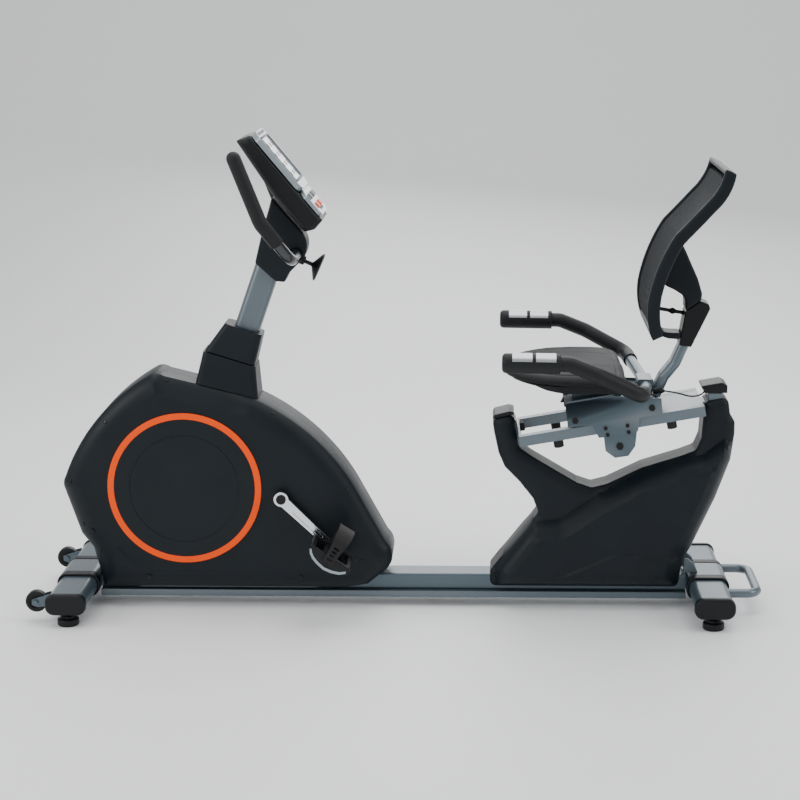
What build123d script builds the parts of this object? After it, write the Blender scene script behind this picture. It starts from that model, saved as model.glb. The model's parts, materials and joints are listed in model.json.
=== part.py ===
from build123d import *
import os
from math import atan2, cos, degrees, hypot, radians, sin, sqrt

os.makedirs("parts", exist_ok=True)

# Recumbent exercise bike. Millimetres; +Z up, floor at Z = 0; the bike's length runs along X
# with the flywheel end at -X and the seat end at +X; Y = 0 is the mid-plane; rider's left is -Y.

# ---------------------------------------------------------------- driving dimensions
SIDES = (("left", -1), ("right", 1))

STAB_X = {"front": -786.0, "rear": 761.0}     # stabilizer centres
STAB_Z = 58.0
STAB_SIZE = (92.0, 46.0)
STAB_HALF = 222.0
TUBE_WALL = 2.5
FOOT_Y = 203.0
FOOT_R = 26.0
RUN_FIT = 0.05                                # radial running clearance of pins and shafts

BEAM_X = (-735.0, 710.0)
BEAM_Y = 35.0
BEAM_Z = (40.0, 80.0)
FLANGE_Y = 50.0
FLANGE_Z = 24.0

SHROUD_HALF = 87.0                            # half width over the front shroud's faces
SHELL = 3.0
RING_XZ = (-515.0, 309.0)
RING_R = 187.0
RING_W = 15.5

CRANK_XZ = (-278.0, 289.0)
CRANK_LEN = 170.0
CRANK_ANGLE = -44.0                           # left crank, degrees above +X
CRANK_Y = 100.0                               # inner face of the crank arms
PEDAL_TILT = 33.0
FLY_XZ = (-515.0, 305.0)
FLY_R = 128.0
PULLEY_R = 115.0
FLY_PULLEY_R = 20.0
BELT_T = 3.0
PLATE_Y = 35.0                                # inner faces of the drive plates
AXLE_R = 8.5

MAST_LEAN = 19.5
MAST_POINT = (-366.0, 683.0)
MAST_SIZE = (62.0, 42.0)
BAR_XZ = (-240.0, 874.0)                      # front handlebar pivot
BAR_R = 14.0
FOAM_R = 17.0
KNOB_XZ = (-188.0, 838.0)
KNOB_DIR = (0.9165, -0.4)

FACE_TOP = (-338.0, 1160.0)                   # console face line, top end
FACE_END = (-177.0, 966.0)
CONSOLE_HALF = 80.0

RAIL_ANGLE = 10.0
RAIL_START = (294.0, 445.0)                   # top edge of the rails at their front end
RAIL_LEN = 449.0
RAIL_Y = 94.0
RAIL_SIZE = (26.0, 25.0)                      # width, height
ROLLER_R = 19.0

GRIP_Y = 290.0
SEAT_BAR_R = 14.0
SEAT_FOAM_R = 18.0
GRIP_R = 23.0


# ---------------------------------------------------------------- helpers
def side_plane(y):
    """Sketch plane at a given Y whose sketch axes are the bike's X and Z; its normal is -Y."""
    return Plane(origin=(0, y, 0), x_dir=(1, 0, 0), z_dir=(0, -1, 0))


def tilted(origin, angle, y=0.0):
    """Side plane turned so that its x axis rises by angle degrees towards +X."""
    a = radians(angle)
    return Plane(origin=(origin[0], y, origin[1]), x_dir=(cos(a), 0, sin(a)), z_dir=(0, -1, 0))


def polar(centre, radius, angle):
    return (centre[0] + radius * cos(radians(angle)), centre[1] + radius * sin(radians(angle)))


def finish(builder, name):
    builder.part.label = name
    export_step(builder.part, f"parts/{name}.step")


def rail_point(s, n=0.0):
    """Point at distance s along the rail's top edge and n above it."""
    a = radians(RAIL_ANGLE)
    return (RAIL_START[0] + s * cos(a) - n * sin(a), RAIL_START[1] + s * sin(a) + n * cos(a))


# ---------------------------------------------------------------- base frame
with BuildPart() as main_beam:
    with BuildSketch(Plane.YZ.offset(BEAM_X[0])):
        with Locations((0, sum(BEAM_Z) / 2)):
            RectangleRounded(2 * BEAM_Y, BEAM_Z[1] - BEAM_Z[0], 5)
            RectangleRounded(2 * BEAM_Y - 6, BEAM_Z[1] - BEAM_Z[0] - 6, 2.5, mode=Mode.SUBTRACT)
        with Locations((0, (FLANGE_Z + BEAM_Z[0]) / 2)):
            Rectangle(2 * FLANGE_Y, BEAM_Z[0] - FLANGE_Z)
            Rectangle(2 * FLANGE_Y - 5, BEAM_Z[0] - FLANGE_Z - 5, mode=Mode.SUBTRACT)
    extrude(amount=BEAM_X[1] - BEAM_X[0])
finish(main_beam, "main_beam")

stab_places = [(x, STAB_Z) for x in STAB_X.values()]
with BuildPart() as stabilizer_tubes:
    with BuildSketch(side_plane(STAB_HALF)):
        with Locations(*stab_places):
            RectangleRounded(*STAB_SIZE, 19)
    extrude(amount=2 * STAB_HALF)
    with BuildSketch(side_plane(49)):
        with Locations(*stab_places):
            RectangleRounded(STAB_SIZE[0] + 10, STAB_SIZE[1] + 10, 22)
    extrude(amount=98)
    with BuildSketch(side_plane(STAB_HALF)):
        with Locations(*stab_places):
            RectangleRounded(STAB_SIZE[0] - 2 * TUBE_WALL, STAB_SIZE[1] - 2 * TUBE_WALL, 16.5)
    extrude(amount=2 * STAB_HALF, mode=Mode.SUBTRACT)
    with BuildSketch(Plane.XY):
        with Locations(*[(x, sign * FOOT_Y) for x in STAB_X.values() for sign in (-1, 1)]):
            Circle(5)
    extrude(amount=STAB_Z, mode=Mode.SUBTRACT)

with BuildPart() as stabilizer_collars:
    for sign in (-1, 1):
        with BuildSketch(side_plane(sign * 52)):
            with Locations(*stab_places):
                RectangleRounded(STAB_SIZE[0] + 12, STAB_SIZE[1] + 12, 24)
                RectangleRounded(*STAB_SIZE, 19, mode=Mode.SUBTRACT)
        extrude(amount=-sign * 26)
finish(stabilizer_collars, "stabilizer_collars")

with BuildPart() as stabilizer_caps:
    for sign in (-1, 1):
        with BuildSketch(side_plane(sign * STAB_HALF)):
            with Locations(*stab_places):
                RectangleRounded(STAB_SIZE[0] + 6, STAB_SIZE[1] + 6, 22)
        extrude(amount=-sign * 16)
        ends = stabilizer_caps.faces().filter_by(Plane.XZ).sort_by(Axis.Y)
        fillet((ends[:2] if sign < 0 else ends[-2:]).edges(), 7)
finish(stabilizer_caps, "stabilizer_caps")

with BuildPart() as foot:
    with BuildSketch(Plane.XZ):
        with BuildLine():
            Polyline((0, 0), (FOOT_R - 2, 0), (FOOT_R, 3), (FOOT_R, 15), (FOOT_R - 3, 18), (19, 19),
                     (17, 25), (5, 25), (5, 52), (0, 52), close=True)
        make_face()
    revolve(axis=Axis.Z)

with BuildPart() as levelling_feet:
    for x in STAB_X.values():
        for sign in (-1, 1):
            add(foot.part.moved(Location((x, sign * FOOT_Y, 0))))
    with Locations((92, 0, FLANGE_Z - 7)):
        Box(46, 62, 7, align=(Align.CENTER, Align.CENTER, Align.MIN))
finish(levelling_feet, "levelling_feet")

with BuildPart() as lift_handle:
    LIFT_R = 11.0
    lift_x = 891.0 - LIFT_R
    start_x = STAB_X["rear"] + STAB_SIZE[0] / 2
    with BuildLine() as lift_path:
        FilletPolyline((start_x, -102, 56), (lift_x, -102, 56), (lift_x, 102, 56),
                       (start_x, 102, 56), radius=30)
    with BuildSketch(Plane(origin=(start_x, -102, 56), z_dir=lift_path.line % 0)):
        Circle(LIFT_R)
    sweep()
finish(lift_handle, "lift_handle")

# ---------------------------------------------------------------- transport wheels
WHEEL_XZ = (-865.0, 52.0)
WHEEL_R = 26.0
with BuildPart() as wheel_brackets:
    for sign in (-1, 1):
        for y in (166.0, 194.0):
            with BuildSketch(side_plane(sign * y)):
                with BuildLine():
                    Polyline((-832, 72), (-832, 44), (-860, 40), (-874, 46), (-874, 58), (-860, 64),
                             close=True)
                make_face()
            extrude(amount=1.5, both=True)
    for sign in (-1, 1):
        with BuildSketch(side_plane(sign * 163)):
            with Locations(WHEEL_XZ):
                Circle(4)
        extrude(amount=-sign * 34)
        for y in (159.0, 197.0):
            with BuildSketch(side_plane(sign * y)):
                with Locations(WHEEL_XZ):
                    RegularPolygon(7, 6)
            extrude(amount=-sign * 4)

with BuildPart() as stabilizers:
    add(stabilizer_tubes.part)
    add(wheel_brackets.part)
finish(stabilizers, "stabilizers")

for side, sign in SIDES:
    with BuildPart() as wheel:
        with BuildSketch(side_plane(sign * 169)):
            with Locations(WHEEL_XZ):
                Circle(WHEEL_R)
        extrude(amount=-sign * 22)
        fillet(wheel.edges().filter_by(GeomType.CIRCLE), 4)
        with BuildSketch(side_plane(sign * 160)):
            with Locations(WHEEL_XZ):
                Circle(4 + RUN_FIT)
        extrude(amount=-sign * 40, mode=Mode.SUBTRACT)
        for y in (169.0, 188.0):
            with BuildSketch(side_plane(sign * y)):
                with Locations(WHEEL_XZ):
                    Circle(17)
                    Circle(8, mode=Mode.SUBTRACT)
            extrude(amount=-sign * 3, mode=Mode.SUBTRACT)
    finish(wheel, f"transport_wheel_{side}")

# ---------------------------------------------------------------- front shroud
def front_outline():
    """Closed outline of the flywheel housing in X and Z."""
    Polyline((-122, 52), (-724, 52), (-736, 108), (-775, 187), (-815, 312))
    ThreePointArc((-815, 312), (-722, 480), (-588, 588))
    Line((-588, 588), (-351, 529))
    ThreePointArc((-351, 529), (-205, 434), (-89, 282))
    Line((-89, 282), (-28, 170))
    ThreePointArc((-28, 170), (-12, 134), (-25, 101))
    Polyline((-25, 101), (-73, 61), (-122, 52))


with BuildPart() as shroud_solid:
    with BuildSketch(side_plane(0)):
        with BuildLine():
            front_outline()
        make_face()
    extrude(amount=SHROUD_HALF, both=True)
    chamfer(shroud_solid.faces().filter_by(Plane.XZ).edges(), 26)

CORE_STEPS = ((SHELL, 59.0), (11.0, 67.0), (20.0, 76.0), (29.0, SHROUD_HALF - SHELL))
with BuildPart() as shroud_core:
    for inset, depth in CORE_STEPS:
        with BuildSketch(side_plane(0)):
            with BuildLine():
                front_outline()
            make_face()
            offset(amount=-inset, kind=Kind.INTERSECTION)
        extrude(amount=depth, both=True)

for side, sign in SIDES:
    with BuildPart() as front_shroud:
        with BuildSketch(side_plane(0)):
            with BuildLine():
                front_outline()
            make_face()
        extrude(amount=-sign * SHROUD_HALF)
        face = front_shroud.faces().filter_by(Plane.XZ).sort_by(Axis.Y)[0 if sign < 0 else -1]
        chamfer(face.edges(), 26)
        add(shroud_core.part, mode=Mode.SUBTRACT)
        with Locations((-390, 0, 60)):
            Box(800, 2 * PLATE_Y + 11, 41, mode=Mode.SUBTRACT)
        with BuildSketch(side_plane(0)):
            with Locations(CRANK_XZ):
                Circle(15)
        extrude(amount=-sign * 100, mode=Mode.SUBTRACT)
        with BuildSketch(tilted(MAST_POINT, 90 - MAST_LEAN)):
            Rectangle(600, MAST_SIZE[0] + 8)
        extrude(amount=-sign * (MAST_SIZE[1] / 2 + 4), mode=Mode.SUBTRACT)
    finish(front_shroud, f"front_shroud_{side}")

with BuildPart() as accent_rings:
    for sign in (-1, 1):
        with BuildSketch(side_plane(sign * SHROUD_HALF)):
            with Locations(RING_XZ):
                Circle(RING_R)
                Circle(RING_R - RING_W, mode=Mode.SUBTRACT)
        extrude(amount=-sign * 4)
finish(accent_rings, "accent_rings")

with BuildPart() as disc_covers:
    for sign in (-1, 1):
        with BuildSketch(side_plane(sign * SHROUD_HALF)):
            with Locations(RING_XZ):
                Circle(RING_R - RING_W)
        extrude(amount=-sign * 3)
        with BuildSketch(side_plane(sign * (SHROUD_HALF + 3))):
            with Locations(RING_XZ):
                Circle(134)
                Circle(131, mode=Mode.SUBTRACT)
        extrude(amount=sign * 1, mode=Mode.SUBTRACT)
finish(disc_covers, "disc_covers")

with BuildPart() as shroud_screws:
    for sign in (-1, 1):
        with BuildSketch(side_plane(sign * SHROUD_HALF)):
            with Locations((-236, 84), (-608, 84), (-745, 200), (-100, 130)):
                Circle(5)
        extrude(amount=-sign * 2)
finish(shroud_screws, "shroud_screws")


# ---------------------------------------------------------------- mast and its boots
def boot_plane(p, q):
    """Plane through two side-view points, its x axis from p to q and its normal upward."""
    length = hypot(q[0] - p[0], q[1] - p[1])
    dx, dz = (q[0] - p[0]) / length, (q[1] - p[1]) / length
    middle = ((p[0] + q[0]) / 2, 0, (p[1] + q[1]) / 2)
    return Plane(origin=middle, x_dir=(dx, 0, dz), z_dir=(-dz, 0, dx)), length


mast_dir = (sin(radians(MAST_LEAN)), cos(radians(MAST_LEAN)))


def mast_plane(z):
    x = MAST_POINT[0] + (z - MAST_POINT[1]) * mast_dir[0] / mast_dir[1]
    return Plane(origin=(x, 0, z), x_dir=(mast_dir[1], 0, -mast_dir[0]),
                 z_dir=(mast_dir[0], 0, mast_dir[1]))


MAST_Z = (455.0, 880.0)
mast_length = (MAST_Z[1] - MAST_Z[0]) / mast_dir[1]

with BuildPart() as mast_tube:
    with BuildSketch(mast_plane(MAST_Z[0])):
        RectangleRounded(*MAST_SIZE, 19)
        RectangleRounded(MAST_SIZE[0] - 5, MAST_SIZE[1] - 5, 16.5, mode=Mode.SUBTRACT)
    extrude(amount=mast_length)
finish(mast_tube, "mast_tube")

boots = (
    ((-494, 532), (-333, 496), 62, (-467, 640), (-341, 602), 52),
    ((-463, 641.5), (-343, 604.5), 49, (-414, 707), (-325, 677), 41),
)
with BuildPart() as mast_boots:
    for low_a, low_b, low_half, top_a, top_b, top_half in boots:
        with BuildSketch(boot_plane(low_a, low_b)[0]):
            RectangleRounded(boot_plane(low_a, low_b)[1], 2 * low_half, 14)
        with BuildSketch(boot_plane(top_a, top_b)[0]):
            RectangleRounded(boot_plane(top_a, top_b)[1], 2 * top_half, 14)
        loft()
    with BuildSketch(mast_plane(MAST_Z[0])):
        RectangleRounded(MAST_SIZE[0] + 0.6, MAST_SIZE[1] + 0.6, 19.3)
    extrude(amount=mast_length, mode=Mode.SUBTRACT)
    add(shroud_solid.part, mode=Mode.SUBTRACT)
finish(mast_boots, "mast_boots")

# ---------------------------------------------------------------- drive frame, crank, flywheel
BRAKE_PIN = polar(FLY_XZ, FLY_R + 22, 104)
with BuildPart() as drive_frame:
    for sign in (-1, 1):
        with BuildSketch(side_plane(sign * PLATE_Y)):
            with BuildLine():
                Polyline((-640, 44), (-200, 44), (-200, 90), (-238, 300), (-262, 330), (-380, 430),
                         (-392, 525), (-460, 525), (-482, 430), (-560, 350), (-600, 260),
                         (-650, 90), close=True)
            make_face()
            with Locations((-400, 200)):
                SlotOverall(150, 70, mode=Mode.SUBTRACT)
        extrude(amount=-sign * 5)
        with BuildSketch(side_plane(sign * (PLATE_Y + 5))):
            with Locations(CRANK_XZ):
                Circle(26)
            with Locations(FLY_XZ):
                Circle(22)
        extrude(amount=-sign * 12)
        with BuildSketch(side_plane(sign * PLATE_Y)):
            with Locations(CRANK_XZ):
                Circle(17.5)
            with Locations(FLY_XZ):
                Circle(13)
        extrude(amount=-sign * 17, mode=Mode.SUBTRACT)
    with BuildSketch(side_plane(-PLATE_Y)):
        with Locations(BRAKE_PIN):
            Circle(5)
    extrude(amount=-2 * PLATE_Y)
finish(drive_frame, "drive_frame")

with BuildPart() as drive_bearings:
    for sign in (-1, 1):
        with BuildSketch(side_plane(sign * 41)):
            with Locations(CRANK_XZ):
                Circle(17.5)
                Circle(AXLE_R + RUN_FIT, mode=Mode.SUBTRACT)
            with Locations(FLY_XZ):
                Circle(13)
                Circle(6 + RUN_FIT, mode=Mode.SUBTRACT)
        extrude(amount=-sign * 10)
finish(drive_bearings, "drive_bearings")

with BuildPart() as drive_pulley:
    with BuildSketch(side_plane(8)):
        with Locations(CRANK_XZ):
            Circle(PULLEY_R)
            Circle(AXLE_R, mode=Mode.SUBTRACT)
            with PolarLocations(68, 5):
                Circle(24, mode=Mode.SUBTRACT)
    extrude(amount=-20)
    with BuildSketch(side_plane(8)):
        with Locations(CRANK_XZ):
            Circle(PULLEY_R - 8)
            Circle(24, mode=Mode.SUBTRACT)
    extrude(amount=-7, mode=Mode.SUBTRACT)
finish(drive_pulley, "drive_pulley")

with BuildPart() as flywheel:
    with BuildSketch(side_plane(-30)):
        with Locations(FLY_XZ):
            Circle(FLY_R)
    extrude(amount=-26)
    for y, direction in ((-30, -1), (-4, 1)):
        with BuildSketch(side_plane(y)):
            with Locations(FLY_XZ):
                Circle(FLY_R - 26)
                Circle(24, mode=Mode.SUBTRACT)
        extrude(amount=direction * 8, mode=Mode.SUBTRACT)
    with BuildSketch(side_plane(-4)):
        with Locations(FLY_XZ):
            Circle(FLY_PULLEY_R)
    extrude(amount=-32)
    with BuildSketch(side_plane(-53)):
        with Locations(FLY_XZ):
            Circle(6)
    extrude(amount=-106)
finish(flywheel, "flywheel")

# Belt: the two pulley circles joined by their outer tangents.
BELT_GAP = 0.4
belt_dx, belt_dz = FLY_XZ[0] - CRANK_XZ[0], FLY_XZ[1] - CRANK_XZ[1]
belt_span = hypot(belt_dx, belt_dz)
belt_dir = degrees(atan2(belt_dz, belt_dx))
belt_open = degrees(atan2(sqrt(belt_span**2 - (PULLEY_R - FLY_PULLEY_R) ** 2),
                          PULLEY_R - FLY_PULLEY_R))


def belt_loop(grow):
    big, small = PULLEY_R + BELT_GAP + grow, FLY_PULLEY_R + BELT_GAP + grow
    a, b = belt_dir + belt_open, belt_dir - belt_open
    ThreePointArc(polar(CRANK_XZ, big, a), polar(CRANK_XZ, big, belt_dir + 180),
                  polar(CRANK_XZ, big, b))
    Line(polar(CRANK_XZ, big, b), polar(FLY_XZ, small, b))
    ThreePointArc(polar(FLY_XZ, small, b), polar(FLY_XZ, small, belt_dir),
                  polar(FLY_XZ, small, a))
    Line(polar(FLY_XZ, small, a), polar(CRANK_XZ, big, a))


with BuildPart() as drive_belt:
    with BuildSketch(side_plane(10)):
        with BuildLine():
            belt_loop(BELT_T)
        make_face()
        with BuildLine():
            belt_loop(0)
        make_face(mode=Mode.SUBTRACT)
    extrude(amount=-16)
finish(drive_belt, "drive_belt")

# Magnetic brake: an arc of magnets close to the flywheel's rim, on a pivoting carrier.
with BuildPart() as brake_carrier:
    with BuildSketch(side_plane(-30)):
        with BuildLine():
            inner, outer = FLY_R + 11, FLY_R + 19
            ThreePointArc(*[polar(FLY_XZ, inner, a) for a in (98, 138, 178)])
            Line(polar(FLY_XZ, inner, 178), polar(FLY_XZ, outer, 178))
            ThreePointArc(*[polar(FLY_XZ, outer, a) for a in (178, 138, 98)])
            Line(polar(FLY_XZ, outer, 98), polar(FLY_XZ, inner, 98))
        make_face()
        with Locations(BRAKE_PIN):
            Circle(12)
    extrude(amount=-26)
    for angle in range(118, 178, 12):
        with BuildSketch(tilted(FLY_XZ, angle, -28)):
            with Locations((FLY_R + 8, 0)):
                Rectangle(9, 22)
        extrude(amount=-22)
    with BuildSketch(side_plane(-32)):
        with Locations(BRAKE_PIN):
            Circle(5 + RUN_FIT)
    extrude(amount=-30, mode=Mode.SUBTRACT)
finish(brake_carrier, "brake_carrier")

with BuildPart() as tension_motor:
    with Locations((-694, 0, BEAM_Z[1] + 26)):
        Box(56, 44, 52)
    fillet(tension_motor.edges().filter_by(Axis.Z), 4)
    with BuildSketch(side_plane(-22)):
        with Locations((-694, BEAM_Z[1] + 30)):
            Circle(9)
    extrude(amount=8)
finish(tension_motor, "tension_motor")

# ---------------------------------------------------------------- cranks and pedals
pedal_at = {-1: polar(CRANK_XZ, CRANK_LEN, CRANK_ANGLE),
            1: polar(CRANK_XZ, CRANK_LEN, CRANK_ANGLE + 180)}
PEDAL_Y = (140.0, 234.0)
SPINDLE_R = 6.0

with BuildPart() as crankset:
    with BuildSketch(side_plane(-CRANK_Y - 1)):
        with Locations(CRANK_XZ):
            Circle(AXLE_R)
    extrude(amount=-2 * CRANK_Y - 2)
    for sign in (-1, 1):
        angle = CRANK_ANGLE + (180 if sign > 0 else 0)
        with BuildSketch(tilted(CRANK_XZ, angle, sign * CRANK_Y)):
            with BuildLine():
                Polyline((0, 13), (CRANK_LEN, 9.5), (CRANK_LEN, -9.5), (0, -13), close=True)
            make_face()
            Circle(18)
            with Locations((CRANK_LEN, 0)):
                Circle(13)
        extrude(amount=-sign * 15)
        with BuildSketch(tilted(CRANK_XZ, angle, sign * (CRANK_Y + 15))):
            with Locations((CRANK_LEN / 2 + 4, 0)):
                SlotOverall(96, 9)
        extrude(amount=sign * 3, mode=Mode.SUBTRACT)
        with BuildSketch(side_plane(sign * (CRANK_Y + 14))):
            with Locations(pedal_at[sign]):
                Circle(SPINDLE_R)
        extrude(amount=-sign * (PEDAL_Y[1] - CRANK_Y - 22))
        with BuildSketch(side_plane(sign * (CRANK_Y + 15))):
            with Locations(pedal_at[sign]):
                RegularPolygon(10, 6)
        extrude(amount=-sign * 7)
finish(crankset, "crankset")

with BuildPart() as crank_caps:
    for sign in (-1, 1):
        with BuildSketch(side_plane(sign * (CRANK_Y + 15))):
            with Locations(CRANK_XZ):
                Circle(12)
        extrude(amount=-sign * 4)
finish(crank_caps, "crank_caps")

pedal_mid = sum(PEDAL_Y) / 2
pedal_width = PEDAL_Y[1] - PEDAL_Y[0]
for side, sign in SIDES:
    at = pedal_at[sign]
    with BuildPart() as pedal:
        # core round the spindle, the two side cheeks, the tread bars and the weighted sole
        with BuildSketch(tilted(at, -PEDAL_TILT, sign * PEDAL_Y[0])):
            RectangleRounded(40, 24, 8)
            Circle(SPINDLE_R + RUN_FIT, mode=Mode.SUBTRACT)
        extrude(amount=-sign * (pedal_width - 8))
        for y in (PEDAL_Y[0], PEDAL_Y[1] - 9):
            with BuildSketch(tilted(at, -PEDAL_TILT, sign * y)):
                with BuildLine():
                    Polyline((-56, 10), (-50, 13), (50, 13), (56, 8), (56, -4), (40, -13), (-36, -15),
                             (-56, -4), close=True)
                make_face()
                Circle(SPINDLE_R + RUN_FIT, mode=Mode.SUBTRACT)
            extrude(amount=-sign * 9)
        for u in (-49, 47):
            with BuildSketch(tilted(at, -PEDAL_TILT, sign * PEDAL_Y[0])):
                with Locations((u, 5)):
                    RectangleRounded(12, 14, 3)
            extrude(amount=-sign * pedal_width)
        with BuildSketch(tilted(at, -PEDAL_TILT, sign * PEDAL_Y[0])):
            with BuildLine():
                ThreePointArc((-40, -10), (0, -25), (44, -11))
                ThreePointArc((44, -11), (0, -19), (-40, -10))
            make_face()
        extrude(amount=-sign * pedal_width)
    finish(pedal, f"pedal_{side}")

    tilt = radians(PEDAL_TILT)
    strap_plane = Plane(origin=(at[0], sign * pedal_mid, at[1]), x_dir=(0, 1, 0),
                        z_dir=(-cos(tilt), 0, sin(tilt)))
    strap_up = 1 if strap_plane.y_dir.Z > 0 else -1
    with BuildPart() as strap:
        with BuildSketch(strap_plane):
            half = pedal_width / 2
            for grow, mode in ((3, Mode.ADD), (0, Mode.SUBTRACT)):
                w = half + grow
                with BuildLine():
                    Line((-w, -4 * strap_up), (-w, 44 * strap_up))
                    ThreePointArc((-w, 44 * strap_up), (0, (76 + grow) * strap_up),
                                  (w, 44 * strap_up))
                    Polyline((w, 44 * strap_up), (w, -4 * strap_up), (-w, -4 * strap_up))
                make_face(mode=mode)
        extrude(amount=16, both=True)
        with BuildSketch(side_plane(0)):
            with Locations(at):
                Circle(SPINDLE_R + 0.6)
        extrude(amount=-sign * 240, mode=Mode.SUBTRACT)
    finish(strap, f"pedal_strap_{side}")

# ---------------------------------------------------------------- mast head, handlebar, knob
with BuildPart() as mast_head:
    with BuildSketch(side_plane(-36)):
        with BuildLine():
            Polyline((-339, 852), (-322, 921), (-303, 984), (-296, 1010), (-222, 925))
            ThreePointArc((-222, 925), (-213, 892), (-226, 860))
            Polyline((-226, 860), (-257, 828), (-268, 806), (-290, 808), (-339, 852))
        make_face()
        with Locations(BAR_XZ):
            Circle(BAR_R + RUN_FIT, mode=Mode.SUBTRACT)
    extrude(amount=-72)
    fillet(mast_head.faces().filter_by(Plane.XZ).edges().filter_by(GeomType.LINE), 5)
    with BuildSketch(mast_plane(MAST_Z[0])):
        RectangleRounded(*MAST_SIZE, 19)
    extrude(amount=mast_length, mode=Mode.SUBTRACT)
    knob_base = (KNOB_XZ[0] - 52 * KNOB_DIR[0], KNOB_XZ[1] - 52 * KNOB_DIR[1])
    knob_plane = Plane(origin=(knob_base[0], 0, knob_base[1]), x_dir=(0, 1, 0),
                       z_dir=(KNOB_DIR[0], 0, KNOB_DIR[1]))
    with BuildSketch(knob_plane):
        Circle(11)
    extrude(amount=16)
    with BuildSketch(knob_plane.offset(3)):
        Circle(5 + RUN_FIT)
    extrude(amount=20, mode=Mode.SUBTRACT)
    with BuildSketch(side_plane(-40)):
        with Locations(BAR_XZ):
            Circle(BAR_R + RUN_FIT)
    extrude(amount=-80, mode=Mode.SUBTRACT)
finish(mast_head, "mast_head")

bar_points = [(-364, -215, 1126), (-303, -215, 970), (-240, -150, 874),
              (-240, 150, 874), (-303, 215, 970), (-364, 215, 1126)]
with BuildPart() as front_handlebar:
    with BuildLine() as bar_path:
        FilletPolyline(*bar_points, radius=50)
    with BuildSketch(Plane(origin=bar_points[0], z_dir=bar_path.line % 0)):
        Circle(BAR_R)
        Circle(BAR_R - 2, mode=Mode.SUBTRACT)
    sweep()
finish(front_handlebar, "front_handlebar")

with BuildPart() as front_grips:
    for sign in (-1, 1):
        top, knee, low = [Vector(x, -sign * y, z) for x, y, z in bar_points[:3]]
        stop = knee + (low - knee) * 0.52
        crown = top + (top - knee).normalized() * 8
        with BuildLine() as grip_path:
            FilletPolyline(crown, knee, stop, radius=50)
        with BuildSketch(Plane(origin=crown, z_dir=grip_path.line % 0)):
            Circle(FOAM_R)
        sweep(path=grip_path.line)
        with BuildLine() as core_path:
            FilletPolyline(top, knee, stop, radius=50)
        with BuildSketch(Plane(origin=top, z_dir=core_path.line % 0)):
            Circle(BAR_R)
        sweep(path=core_path.line, mode=Mode.SUBTRACT)
finish(front_grips, "front_grips")

with BuildPart() as clamp_knob:
    with BuildSketch(Plane(origin=(knob_base[0], 0, knob_base[1]),
                           x_dir=(KNOB_DIR[0], 0, KNOB_DIR[1]), z_dir=(0, -1, 0))):
        with BuildLine():
            Polyline((5, 0), (5, 5), (34, 5), (38, 12), (50, 35), (54, 35), (55, 30), (52, 8), (52, 0),
                     close=True)
        make_face()
    revolve(axis=Axis((knob_base[0], 0, knob_base[1]), (KNOB_DIR[0], 0, KNOB_DIR[1])))
finish(clamp_knob, "clamp_knob")

# ---------------------------------------------------------------- console
face_len = hypot(FACE_END[0] - FACE_TOP[0], FACE_END[1] - FACE_TOP[1])
face_angle = degrees(atan2(FACE_END[1] - FACE_TOP[1], FACE_END[0] - FACE_TOP[0]))


def console_plane(y):
    """Side plane with x down the console's face and y out of the face."""
    return tilted(FACE_TOP, face_angle, y)


def face_plane(u, n):
    """Plane on the face: origin at u down the face and n proud of it, x axis down the face."""
    a = radians(face_angle)
    origin = (FACE_TOP[0] + u * cos(a) - n * sin(a), 0, FACE_TOP[1] + u * sin(a) + n * cos(a))
    return Plane(origin=origin, x_dir=(cos(a), 0, sin(a)), z_dir=(-sin(a), 0, cos(a)))


with BuildPart() as console_shell:
    with BuildSketch(console_plane(-CONSOLE_HALF)):
        with BuildLine():
            Polyline((0, 0), (face_len + 8, 0), (face_len + 13, -29), (face_len + 2, -51),
                     (150, -53), (-12, -36), close=True)
        make_face()
    extrude(amount=-2 * CONSOLE_HALF)
    chamfer(console_shell.faces().filter_by(Plane.XZ).edges(), 8)
    with BuildSketch(face_plane(face_len / 2, 0)):
        RectangleRounded(face_len - 14, 2 * CONSOLE_HALF - 22, 8)
    extrude(amount=-24, mode=Mode.SUBTRACT)
    add(mast_head.part, mode=Mode.SUBTRACT)
finish(console_shell, "console_shell")

KEYPAD_U = (178.0, 250.0)
DISPLAY_U = (2.0, 174.0)
KEY_ROWS = (199.0, 226.0)
KEY_COLUMNS = (-26.0, 26.0)
KEY_SIZE = (15.0, 34.0)
KEY_GAP = 0.4
with BuildPart() as console_face:
    with BuildSketch(face_plane(0, 0)):
        with Locations((sum(DISPLAY_U) / 2, 0)):
            RectangleRounded(DISPLAY_U[1] - DISPLAY_U[0], 2 * CONSOLE_HALF - 8, 22)
    extrude(amount=13)
    with BuildSketch(face_plane(0, 0)):
        with Locations((sum(KEYPAD_U) / 2, 0)):
            RectangleRounded(KEYPAD_U[1] - KEYPAD_U[0], 2 * CONSOLE_HALF - 14, 18)
    extrude(amount=9)
    with BuildSketch(face_plane(0, 0)):
        with Locations((86, 0)):
            RectangleRounded(126, 2 * CONSOLE_HALF - 34, 6)
        with Locations(*[(u, y) for u in KEY_ROWS for y in KEY_COLUMNS]):
            Rectangle(KEY_SIZE[0] + 2 * KEY_GAP, KEY_SIZE[1] + 2 * KEY_GAP)
    extrude(amount=40, mode=Mode.SUBTRACT)
    with BuildSketch(face_plane(0, -0.001)):
        with Locations((174, 0)):
            Rectangle(20, 80)
    extrude(amount=6)
finish(console_face, "console_face")

with BuildPart() as console_screen:
    with BuildSketch(face_plane(0, 1)):
        with Locations((86, 0)):
            RectangleRounded(125, 2 * CONSOLE_HALF - 35, 5.5)
    extrude(amount=10)
finish(console_screen, "console_screen")

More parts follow.
